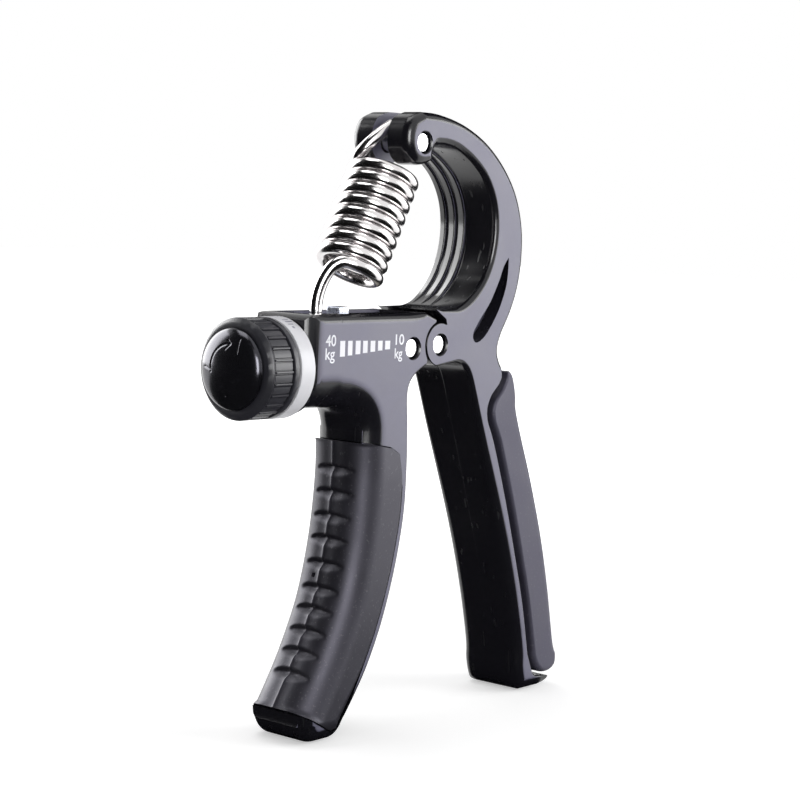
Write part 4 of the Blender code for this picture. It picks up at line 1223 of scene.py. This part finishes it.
# %% Tongue and cavity
CAVITY_LEFT = ARM_END + 3.9
CAVITY_HALF = 5.2
BUSH_RADIUS = 5.3
WEB_HALF = TONGUE_HALF - 0.05
carve(handle_shell, joins=[
    flange, spigot, finger_core("finger_rib", 0.0),
    block("tongue_web", (-9.0, -WEB_HALF, -3.9), (-2.5, WEB_HALF, 4.6)),
    bar("tongue", (0, 0), TONGUE_RADIUS, TONGUE_HALF),
])
carve(handle_shell, cuts=coves + [
    block("nut_cavity", (CAVITY_LEFT, -CAVITY_HALF, -10.9), (-13.0, CAVITY_HALF, 13.2)),
    block("cavity_shelf", (-14.0, -CAVITY_HALF, -4.9), (-6.8, CAVITY_HALF, 19.8)),
    rod("bush_bore", ARM_END - 8.4, CAVITY_LEFT + 1, BUSH_RADIUS),
    bar("pivot_bush_hole", (0, 0), PIN_RADIUS + 2 * GAP + 0.85, 2 * TONGUE_HALF),
    pin_hole("cross_hole", CROSS_PIN),
])
place_piece(handle_shell, "handle", BLACK_MOULDING, ["finger_handle"])

# %% [markdown]
# ## The finger grip
# A rubber sleeve with a crowned outside. A sharp ridge runs down the middle where the mould
# parted, and ten leaf-shaped scoops cross it for the fingertips: steep at their upper lip,
# easing out below, fading towards the front. They are pressed into a fine skin, point by
# point, because they are far too large to be a bump in the material.

# %% Finger scoops
SCOOP_HEIGHTS = np.array([-31.0, -36.9, -42.8, -48.4, -54.4, -60.4, -65.4, -70.4, -75.3, -80.2])
SCOOP_TALL = 3.3
SCOOP_DEEP = 1.05
SCOOP_FRONT, SCOOP_BACK = -6.3, 5.4
STEEP_SHARE = 0.26


def finger_scoops(height, across):
    """How deep the scoops are at a height and a place across."""
    depth = np.zeros(len(height))
    reach = np.where(across < 0, across / SCOOP_FRONT, across / SCOOP_BACK)
    leaf = np.sqrt(np.clip(1 - reach ** 2, 0, 1))
    for level in SCOOP_HEIGHTS:
        below = (level + SCOOP_TALL / 2 * leaf - height) / np.maximum(SCOOP_TALL * leaf, 0.05)
        inside = (below > 0) & (below < 1)
        steep, easing = ease(below / STEEP_SHARE), ease((1 - below) / (1 - STEEP_SHARE))
        shape = np.where(below < STEEP_SHARE, steep, easing)
        depth += np.where(inside, shape * leaf ** 1.2, 0.0)
    return SCOOP_DEEP * depth


print("scoops", len(SCOOP_HEIGHTS), "from", SCOOP_HEIGHTS[0], "to", SCOOP_HEIGHTS[-1], "mm")

# %% Finger grip
SLEEVE_HALF = BODY_HALF + 0.6
SLEEVE_PAST = 9.0
SLEEVE_EDGE = ((-93.0, -89.0, -80.0), (3.6, 2.8, 1.0))
SLEEVE_SOLE_RADIUS = 4.6
CROWN_RISE, CROWN_REACH = 0.30, 1.0
RIDGE_RISE, RIDGE_REACH = 0.10, 0.16
SLEEVE_LEVELS = (0.14, 0.3, 0.55, 0.85, 1.2, 1.6, 2.0)
sleeve_outer = lengthened(smooth(FINGER_OUTER, 26), SLEEVE_PAST, 20)
sleeve_strip = lengthened(strip_line(STRIP_WIDE + GAP), SLEEVE_PAST, 9)[::-1]
sleeve_line, sleeve_radii = joined([
    (sleeve_outer, 8.0),
    (sleeve_strip, by_height(sleeve_strip, *SLEEVE_EDGE)),
])
on_outside = np.arange(len(sleeve_line)) < len(sleeve_outer)


def sleeve_relief(line, across):
    """A peaked crown with its ridge, and the scoops, on the outside only."""
    away = np.abs(across)
    crown = -CROWN_RISE * np.exp(-away / CROWN_REACH)
    ridge = -RIDGE_RISE * np.exp(-(away / RIDGE_REACH) ** 2)
    return np.where(on_outside, crown + ridge + finger_scoops(line[:, 1], across), 0.0)


finger_grip = plate("finger_grip", sleeve_line, sleeve_radii, SLEEVE_HALF, steps=22,
                    middle=(*[-y for y in SLEEVE_LEVELS[::-1]], 0.0, *SLEEVE_LEVELS), relief=sleeve_relief)
print("sleeve outline", len(sleeve_line), "points")

# %% Sleeve ends and air hole
AIR_HOLE_PLACE = Vector((-33.0, 2.2, -57.0))
AIR_HOLE_RADIUS, AIR_HOLE_DEEP = 0.62 * MM, 6 * MM
hole = bmesh.new()
bmesh.ops.create_cone(hole, cap_ends=True, segments=24, radius1=AIR_HOLE_RADIUS,
                      radius2=AIR_HOLE_RADIUS, depth=AIR_HOLE_DEEP)
air_hole = bmesh_object("air_hole", hole)
air_hole.location = PIVOT + AIR_HOLE_PLACE * MM
air_hole.rotation_euler = (0.0, math.radians(90), math.radians(-18))
carve(finger_grip, limits=[sleeve_space("sleeve_limits", GAP)])
carve(finger_grip, cuts=[finger_core("sleeve_channel", GAP), air_hole] + sole_rounding(
    "sleeve_sole", SLEEVE_HALF, SOLE_LEVEL + 1.0, SLEEVE_SOLE_RADIUS, (-56.0, -20.0)))
place_piece(finger_grip, "handle", SLEEVE_RUBBER, ["finger_sleeve"], sharp=50.0)

# %% [markdown]
# ## Pins
# Three polished cross pins sit a little below the faces. Each is turned with a chamfer and a
# barely crowned end, so its disc shows one even reflection inside a thin dark ring of shadow.

# %% Pins
PIN_END = BODY_HALF - 0.85


def cross_bar(name, across):
    """A pin with a chamfer and a barely crowned end, the same at both sides."""
    half_profile = [(PIN_END + 0.10, 0), (PIN_END + 0.08, PIN_RADIUS * 0.45),
                    (PIN_END, PIN_RADIUS - 0.22), (PIN_END - 0.2, PIN_RADIUS)]
    profile = [(-place, radius) for place, radius in half_profile] + half_profile[::-1]
    return lathe(name, profile, 72, across)


for pin, across, body in (("pivot_pin", (0, 0), "frame"), ("spring_pin", TIP_PIN, "frame"),
                          ("cross_pin", CROSS_PIN, "handle")):
    place_piece(cross_bar(pin + "_turned", across), body, PIN_STEEL, [pin])

# %% [markdown]
# ## The white index ring
# A white moulded ring turns the reader's eye to the setting. It is a turned ring with small
# rounds at its rims and a few short grey strokes near the top, laid on its skin.

# %% Index ring
RING_RADIUS, RING_BORE = 12.2, 8.0
RING_IN, RING_OUT = ARM_END - GAP, ARM_END - GAP - 4.7
RIM = [(0.0, RING_BORE), (0.0, RING_RADIUS - 0.25), (0.08, RING_RADIUS - 0.08), (0.26, RING_RADIUS)]
index_ring = lathe("index_ring_turned", [(RING_IN - step, radius) for step, radius in RIM]
                   + [(RING_OUT + step, radius) for step, radius in RIM[::-1]], 160, closed=True)
place_piece(index_ring, "handle", RING_WHITE, ["index_ring"])

# %% Ring strokes
STROKES = [(107, 109, -50.0, -51.9), (112, 114.5, -49.7, -51.9), (118, 119.6, -50.3, -52.0),
           (123, 126.5, -50.9, -51.6)]
INK_HALF = 0.02


def ring_stroke(start, end, low, high):
    """One printed stroke on the ring, between two angles and two places along the axis."""
    turn = np.radians(np.linspace(start, end, 5))
    rings = []
    for radius in (RING_RADIUS - INK_HALF, RING_RADIUS + INK_HALF):
        edge = [(low, a) for a in turn] + [(high, a) for a in turn[::-1]]
        rings.append([(x, radius * math.cos(a), radius * math.sin(a) - SCREW_DROP) for x, a in edge])
    return from_rings("stroke", rings)


def merged(name, parts):
    """Several loose parts as one piece."""
    bm = bmesh.new()
    for part in parts:
        bm.from_mesh(part.data)
        bpy.data.objects.remove(part, do_unlink=True)
    bmesh.ops.remove_doubles(bm, verts=bm.verts[:], dist=0.002 * MM)
    return bmesh_object(name, bm)


ring_strokes = merged("ring_strokes", [ring_stroke(*stroke) for stroke in STROKES])
place_piece(ring_strokes, "handle", RING_INK)

# %% [markdown]
# ## The knob
# The knob is a satin black moulding: a smooth flange, a band of narrow ridges with flats
# between them, and a smooth chamfer round the cap. The band is turned like the rest, but each
# ring's radius dips by a tooth profile, with a vertex on every corner so the edges stay crisp.
# A row of the profile is its depth from the knob's inner face, its radius and its share of the
# teeth's depth.

# %% Knob teeth
TEETH = 26
TOOTH_PLACES = (-0.5, -0.35, -0.215, -0.175, -0.12, -0.085, -0.03,
                0.03, 0.085, 0.12, 0.175, 0.215, 0.35)
TOOTH_DEPTHS = ([0.0, 0.03, 0.085, 0.12, 0.175, 0.215, 0.5], [0.0, 0.0, 0.05, 0.62, 0.62, 0.36, 0.34])
tooth_turns = np.sort([2 * math.pi * (tooth + place) / TEETH
                       for tooth in range(TEETH) for place in TOOTH_PLACES])
print("teeth", TEETH, "of", len(TOOTH_PLACES), "corners")

# %% Knob body
KNOB_FACE = RING_OUT - 0.5
KNOB_RADIUS, KNOB_CORE = 12.1, 11.0
SPIGOT_BORE, HEAD_BORE, SHANK_BORE = 7.1, 6.15, 3.25
KNOB_PROFILE = [
    (0.0, SPIGOT_BORE, 0), (0.0, 11.85, 0), (0.08, 12.02, 0), (0.25, KNOB_RADIUS, 0),
    (1.35, KNOB_RADIUS, 0), (1.52, 12.03, 0), (1.6, 11.85, 0), (1.6, KNOB_CORE, 0),
    (1.9, KNOB_CORE, 0), (1.9, 11.55, 0.1), (2.05, 11.95, 0.75), (2.25, KNOB_RADIUS, 1),
    (7.55, KNOB_RADIUS, 1), (7.75, 11.95, 0.75), (7.9, 11.55, 0.1), (7.9, KNOB_CORE, 0),
    (8.2, KNOB_CORE, 0), (8.2, 11.9, 0), (8.26, 12.04, 0), (8.4, KNOB_RADIUS, 0), (8.58, 12.06, 0),
    (9.5, 11.2, 0), (9.62, 10.9, 0), (9.7, 10.4, 0), (9.7, 9.3, 0), (9.6, 9.1, 0), (8.2, 9.1, 0),
    (8.2, HEAD_BORE, 0), (3.6, HEAD_BORE, 0), (3.6, SHANK_BORE, 0), (1.6, SHANK_BORE, 0),
    (1.6, SPIGOT_BORE, 0),
]


def tooth_dip(k, turn):
    """How far a ring dips between the ridges: the row's share of the tooth's own depth."""
    away = np.abs((turn * TEETH / (2 * math.pi) + 0.5) % 1 - 0.5)
    return KNOB_PROFILE[k][2] * np.interp(away, *TOOTH_DEPTHS)


knob = lathe("knob_ridged", [(KNOB_FACE - step, radius) for step, radius, _ in KNOB_PROFILE],
             tooth_turns, closed=True, dip=tooth_dip)
place_piece(knob, "screw", KNOB_MOULDING, ["knob_body"], sharp=30.0)

# %% [markdown]
# The cap is a polished dome. A turning arrow is engraved in it, with two short strokes and a
# dot. Each vertex near one of those lines is pushed in, more the nearer it lies, so the
# engraving is part of the shape and catches the light from any side.

# %% Knob cap
CAP_RIM = KNOB_FACE - 10.0
CAP_RADIUS, CAP_RISE = 9.7, 3.6
ENGRAVED = [
    smooth([(4.04, -0.6), (4.14, 0.81), (3.98, 1.99), (3.43, 3.31), (2.48, 4.53), (1.13, 5.44),
            (-0.24, 5.95), (-1.73, 6.1)], 6),
    np.array([(-0.65, 6.94), (-1.73, 6.1)]), np.array([(-1.73, 6.1), (-0.37, 4.86)]),
    np.array([(6.55, 0.49), (4.3, -0.15)]), np.array([(-3.88, 7.38), (-3.98, 3.96)]),
    np.array([(-0.40, -6.05), (-0.30, -6.05)]),
]
ENGRAVE_WIDE, ENGRAVE_DEEP = 0.30, 0.22


def distance_to(line, points):
    """How far each point lies from an open line."""
    nearest = np.full(len(points), np.inf)
    for a, b in zip(line[:-1], line[1:]):
        along = b - a
        share = np.clip(((points - a) @ along) / max(along @ along, 1e-9), 0, 1)
        nearest = np.minimum(nearest, np.linalg.norm(points - a - share[:, None] * along, axis=1))
    return nearest


def cap_profile():
    """A skirt that sits in the knob, then an elliptic dome down to its pole."""
    rise = np.linspace(0, math.pi / 2, 71)[:-1]
    skirt = [(1.4, 0), (1.4, 8.7), (1.3, 8.8), (0.05, 8.8), (0.0, 8.9), (0.0, 9.6)]
    dome = [(-CAP_RISE * math.sin(a), CAP_RADIUS * math.cos(a)) for a in rise]
    return [(CAP_RIM + place, radius) for place, radius in skirt + dome + [(-CAP_RISE, 0)]]


cap = lathe("cap_domed", cap_profile(), 220)
corners = np.array([vert.co for vert in cap.data.vertices]) / MM
spots = corners[:, 1:] + (0.0, SCREW_DROP)
near = np.min([distance_to(line, spots) for line in ENGRAVED], axis=0)
groove = ENGRAVE_DEEP * (1 - ease(near / ENGRAVE_WIDE))
corners[:, 0] += np.where(corners[:, 0] < CAP_RIM - 0.2, groove, 0.0)
cap.data.vertices.foreach_set("co", (corners * MM).ravel())
cap.data.update()
place_piece(cap, "screw", POLISHED_CAP, ["knob_cap"], sharp=60.0)

# %% [markdown]
# ## Nut and screw
# The nut is a plated zinc block that slides in the arm; its lug stands up behind the spring's
# hook. The screw's thread is a real helix, one millimetre a turn: each ring of vertices is
# turned a little further than the last, so the crest climbs as it goes round. Both are made
# whole, though the arm hides most of them, because the parts can be taken apart.

# %% Nut
LUG_LEFT, LUG_RIGHT = -30.1, -26.6
SLOT_HALF = 2.1
nut = block("nut_block", (-36.8, -4.9, -10.6), (-25.2, 4.9, 5.9), 0.35)
carve(nut, joins=[block("nut_lug", (LUG_LEFT, -2.3, 1.0), (LUG_RIGHT, 2.3, 9.5), 0.4)])
carve(nut, cuts=[
    rod("nut_bore", -40, -20, SHANK_BORE),
    block("hook_slot", (-38.0, -SLOT_HALF, -1.2), (LUG_LEFT, SLOT_HALF, 19.0)),
    block("hook_end_slot", (LUG_LEFT - 1.0, -SLOT_HALF, -1.2), (LUG_RIGHT - 1.0, SLOT_HALF, 4.0)),
    bar("hook_pin_hole", HOOK_PIN, 1.5, 10.4, 32),
])
place_piece(nut, "nut", NUT_ZINC, ["travelling_nut"])

# %% Screw profile
THREAD_PITCH, THREAD_DEPTH = 1.0, 0.5
THREAD_LEFT, THREAD_RIGHT = -46.0, -17.3
THREAD_FADE = 1.2
SCREW_RADIUS, JOURNAL_RADIUS = 2.9, 1.9
HEAD_OUT, HEAD_IN, SHANK_END = KNOB_FACE - 7.9, KNOB_FACE - 3.9, -16.9
HEAD_HALF = 5.0
HEAD_ROWS = (1, 2)
screw_profile = [(HEAD_OUT, 0), (HEAD_OUT, SCREW_RADIUS), (HEAD_IN, SCREW_RADIUS), (HEAD_IN, SCREW_RADIUS)]
screw_profile += [(place, SCREW_RADIUS) for place in np.arange(THREAD_LEFT, THREAD_RIGHT + 0.01, 0.1)]
screw_profile += [(SHANK_END - 0.3, SCREW_RADIUS), (SHANK_END, 2.6), (SHANK_END, JOURNAL_RADIUS),
                  (SHANK_END + 3.0, JOURNAL_RADIUS), (SHANK_END + 3.0, 0)]
print("screw rings", len(screw_profile))


# %% Screw
def screw_dip(k, turn):
    """Out to the head's hexagon, and in by the thread, which climbs one pitch a turn."""
    if k in HEAD_ROWS:
        return SCREW_RADIUS - HEAD_HALF / np.cos((turn + math.pi / 6) % (math.pi / 3) - math.pi / 6)
    place = screw_profile[k][0]
    fade = ease(min(place - THREAD_LEFT, THREAD_RIGHT - place) / THREAD_FADE)
    phase = (place / THREAD_PITCH - turn / (2 * math.pi)) % 1
    return THREAD_DEPTH * fade * np.clip(1.25 - np.abs(phase - 0.5) * 3.2, 0, 1)


screw = lathe("screw_threaded", screw_profile, 48, dip=screw_dip)
place_piece(screw, "screw", SCREW_STEEL, ["adjusting_screw"], sharp=60.0)

# %% [markdown]
# ## The spring
# The pull comes from a close-wound tension spring of chromed wire: nine turns that all but
# touch, a hook over the tip pin and a hook under the nut's pin. It is a tube swept along one
# path, made in two lengths that meet inside the coil: the upper ends in the tip pin's hook,
# the lower in the nut's hook.

# %% Spring sizes
WIRE_RADIUS = 1.56
COIL_RADIUS, COIL_PITCH = 7.66, 3.3
COIL_TURNS, COIL_STEPS = 9, 44
COIL_TRIM = math.radians(40)
HOOK_CLIMB = 7.19
LOWER_HOOK = (3.85, 3.2, [-50, -70, -90, -110, -130, -155, 180])
LOWER_LIFT = (-3.95, 0.0, 4.5)
UPPER_HOOK = (PIN_RADIUS + 2.85, PIN_RADIUS + 2.0, [130, 110, 90, 70, 50, 30, 10, -10])
foot = np.array((HOOK_PIN[0], 0.0, HOOK_PIN[1]))
tip = np.array((TIP_PIN[0], 0.0, TIP_PIN[1]))
SPAN = float(np.linalg.norm(tip - foot))
UP = unit(tip - foot)
RIGHT = np.array((UP[2], 0.0, -UP[0]))
BACK = np.array((0.0, 1.0, 0.0))
COIL_START = SPAN - HOOK_CLIMB - COIL_TURNS * COIL_PITCH
print("pins", round(SPAN, 1), "mm apart, coil from", round(COIL_START, 1))


# %% Spring path
def coil(turn):
    height = COIL_START + COIL_PITCH * (turn - math.pi) / (2 * math.pi)
    return foot + UP * height + (RIGHT * math.cos(turn) + BACK * math.sin(turn)) * COIL_RADIUS


def bend(start, start_way, end, end_way):
    """A smooth bend that leaves and arrives in the given directions."""
    reach = np.linalg.norm(end - start)
    a, b = unit(start_way) * reach, unit(end_way) * reach
    return [start * (2 * t ** 3 - 3 * t * t + 1) + a * (t ** 3 - 2 * t * t + t)
            + end * (3 * t * t - 2 * t ** 3) + b * (t ** 3 - t * t) for t in np.arange(1, 16) / 16]


def hook(centre, reach, seat, angles):
    """Points of a hook round a pin: how far it reaches sideways and how low it sits."""
    turn = np.radians(angles)
    return centre + np.column_stack((reach * np.cos(turn), 0 * turn, seat * np.sin(turn)))


def wire_path():
    first = math.pi + COIL_TRIM
    last = math.pi + 2 * math.pi * COIL_TURNS - COIL_TRIM
    body = np.array([coil(turn) for turn in np.linspace(first, last, COIL_TURNS * COIL_STEPS)])
    lower = smooth(np.vstack((hook(foot, *LOWER_HOOK), foot + LOWER_LIFT)), 5)
    upper = smooth(hook(tip, *UPPER_HOOK), 5)
    down = bend(lower[-1], np.array((-0.05, 0.0, 1.0)), body[0], body[1] - body[0])
    rise = bend(body[-1], body[-1] - body[-2], upper[0], upper[1] - upper[0])
    return np.vstack((lower, down, body, rise, upper))


path = wire_path()
wire_length = float(np.linalg.norm(np.diff(path, axis=0), axis=1).sum())
print("wire", round(wire_length), "mm long,", len(path), "points")


# %% Spring tube
def tube_rings(path, radius):
    """Rings round a path that don't twist: each frame is carried on from the last."""
    ways = np.gradient(path, axis=0)
    ways /= np.linalg.norm(ways, axis=1)[:, None]
    out = np.cross(ways[0], BACK)
    turn = even_turn(20)
    rings = []
    for place, way in zip(path, ways):
        out = unit(out - way * (out @ way))
        side = np.cross(way, out)
        rings.append(place + radius * (np.outer(np.cos(turn), out) + np.outer(np.sin(turn), side)))
    return rings


def rounded_end(ring, outward):
    """Two smaller rings past the wire's cut end, so that its edge is filed round."""
    centre = ring.mean(axis=0)
    return [centre + (ring - centre) * share + outward * go for share, go in ((0.93, 0.22), (0.78, 0.38))]


wire = tube_rings(path, WIRE_RADIUS)
JOIN_HEIGHT = COIL_START + 0.30 * COIL_TURNS * COIL_PITCH
join_at = int(np.argmin(np.abs((path - foot) @ UP - JOIN_HEIGHT)))
lower_rings = rounded_end(wire[0], unit(path[0] - path[1]))[::-1] + wire[:join_at + 1]
upper_rings = wire[join_at:] + rounded_end(wire[-1], unit(path[-1] - path[-2]))
print("rings", len(lower_rings), "and", len(upper_rings))


spring_lower = from_rings("spring_lower", lower_rings)
dress(spring_lower, SPRING_CHROME, ["spring"], sharp=60.0)
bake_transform(spring_lower)
spring_upper = from_rings("spring_upper", upper_rings)
dress(spring_upper, SPRING_CHROME, ["spring"], sharp=60.0)
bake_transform(spring_upper)
print("spring joined", round(JOIN_HEIGHT, 1), "mm above the hook pin")

# %% [markdown]
# ## The printed scale
# White ink on the arm's front face gives the pull: a number at each end and seven bars that
# get shorter. The figures come from Blender's own font, fitted to their printed size. All is
# laid on as a skin of ink a few hundredths thick, so it needs no image.

# %% Scale
INK_FRONT, INK_BACK = -BODY_HALF - 0.03, -BODY_HALF + 0.01
SCALE_BARS = [(-37.9, -36.15, 1.90, -1.90), (-35.1, -33.5, 1.85, -1.70), (-32.35, -30.6, 1.80, -1.48),
              (-29.65, -28.0, 1.72, -1.26), (-26.9, -25.2, 1.66, -1.04), (-24.15, -22.5, 1.60, -0.82),
              (-21.5, -19.65, 1.54, -0.60)]
SCALE_FIGURES = [("40", -43.0, -39.4, 0.65, 3.4), ("kg", -43.0, -39.7, -3.4, 0.25),
                 ("10", -17.6, -14.4, 0.4, 3.05), ("kg", -17.8, -14.9, -3.75, -0.4)]
FIGURE_BOLD = 0.012
BAR_SLOPE = 0.02


def printed_figure(text, left, right, low, high):
    """Figures in Blender's own font, fitted to a box on the arm's front face."""
    curve = bpy.data.curves.new("figure", "FONT")
    curve.body = text
    curve.extrude = 0.1
    curve.offset = FIGURE_BOLD
    curve.resolution_u = 6
    figure = new_object("figure", curve)
    mesh = mesh_of(figure)
    bpy.data.objects.remove(figure, do_unlink=True)
    flat = np.array([vert.co for vert in mesh.vertices])
    start, size = flat.min(axis=0), np.ptp(flat, axis=0)
    placed = np.column_stack((left + (flat[:, 0] - start[0]) / size[0] * (right - left),
                              np.where(flat[:, 2] > 0, INK_FRONT, INK_BACK),
                              low + (flat[:, 1] - start[1]) / size[1] * (high - low)))
    mesh.vertices.foreach_set("co", (placed * MM).ravel())
    mesh.update()
    return new_object("figure", mesh)


def printed_bar(left, right, top, bottom):
    """A bar whose ends lean a little."""
    edge = [(left, bottom), (right, bottom + BAR_SLOPE), (right, top - BAR_SLOPE), (left, top)]
    return from_rings("bar", [[(x, y, z) for x, z in edge] for y in (INK_FRONT, INK_BACK)])


scale_print = merged("scale_print", [printed_figure(*row) for row in SCALE_FIGURES]
                     + [printed_bar(*row) for row in SCALE_BARS])
place_piece(scale_print, "handle", SCALE_INK)

# %% [markdown]
# ## Small parts kept from the model
# Washers, bushes, the bearing block and the clip are right as they were packed, and mostly
# out of sight, so they stay and only change their finish.

# %% Finishes for the small parts
KEPT = {
    "hook_pin": PIN_STEEL,
    **dict.fromkeys(("pivot_bush", "thrust_washer", "retaining_clip"), SCREW_STEEL),
    **dict.fromkeys(("pivot_washer_front", "pivot_washer_rear", "front_bush", "end_bearing"), NYLON),
}
for node_name, kept_finish in KEPT.items():
    kept = frame["nodes"][node_name]
    if not kept.material_slots:
        kept.data.materials.append(kept_finish)
    for slot in kept.material_slots:
        slot.material = kept_finish
print("kept", len(KEPT), "nodes")

# %% [markdown]
# ## The end
# The view layer is brought up to date once more.

# %% Finish
bpy.context.view_layer.update()
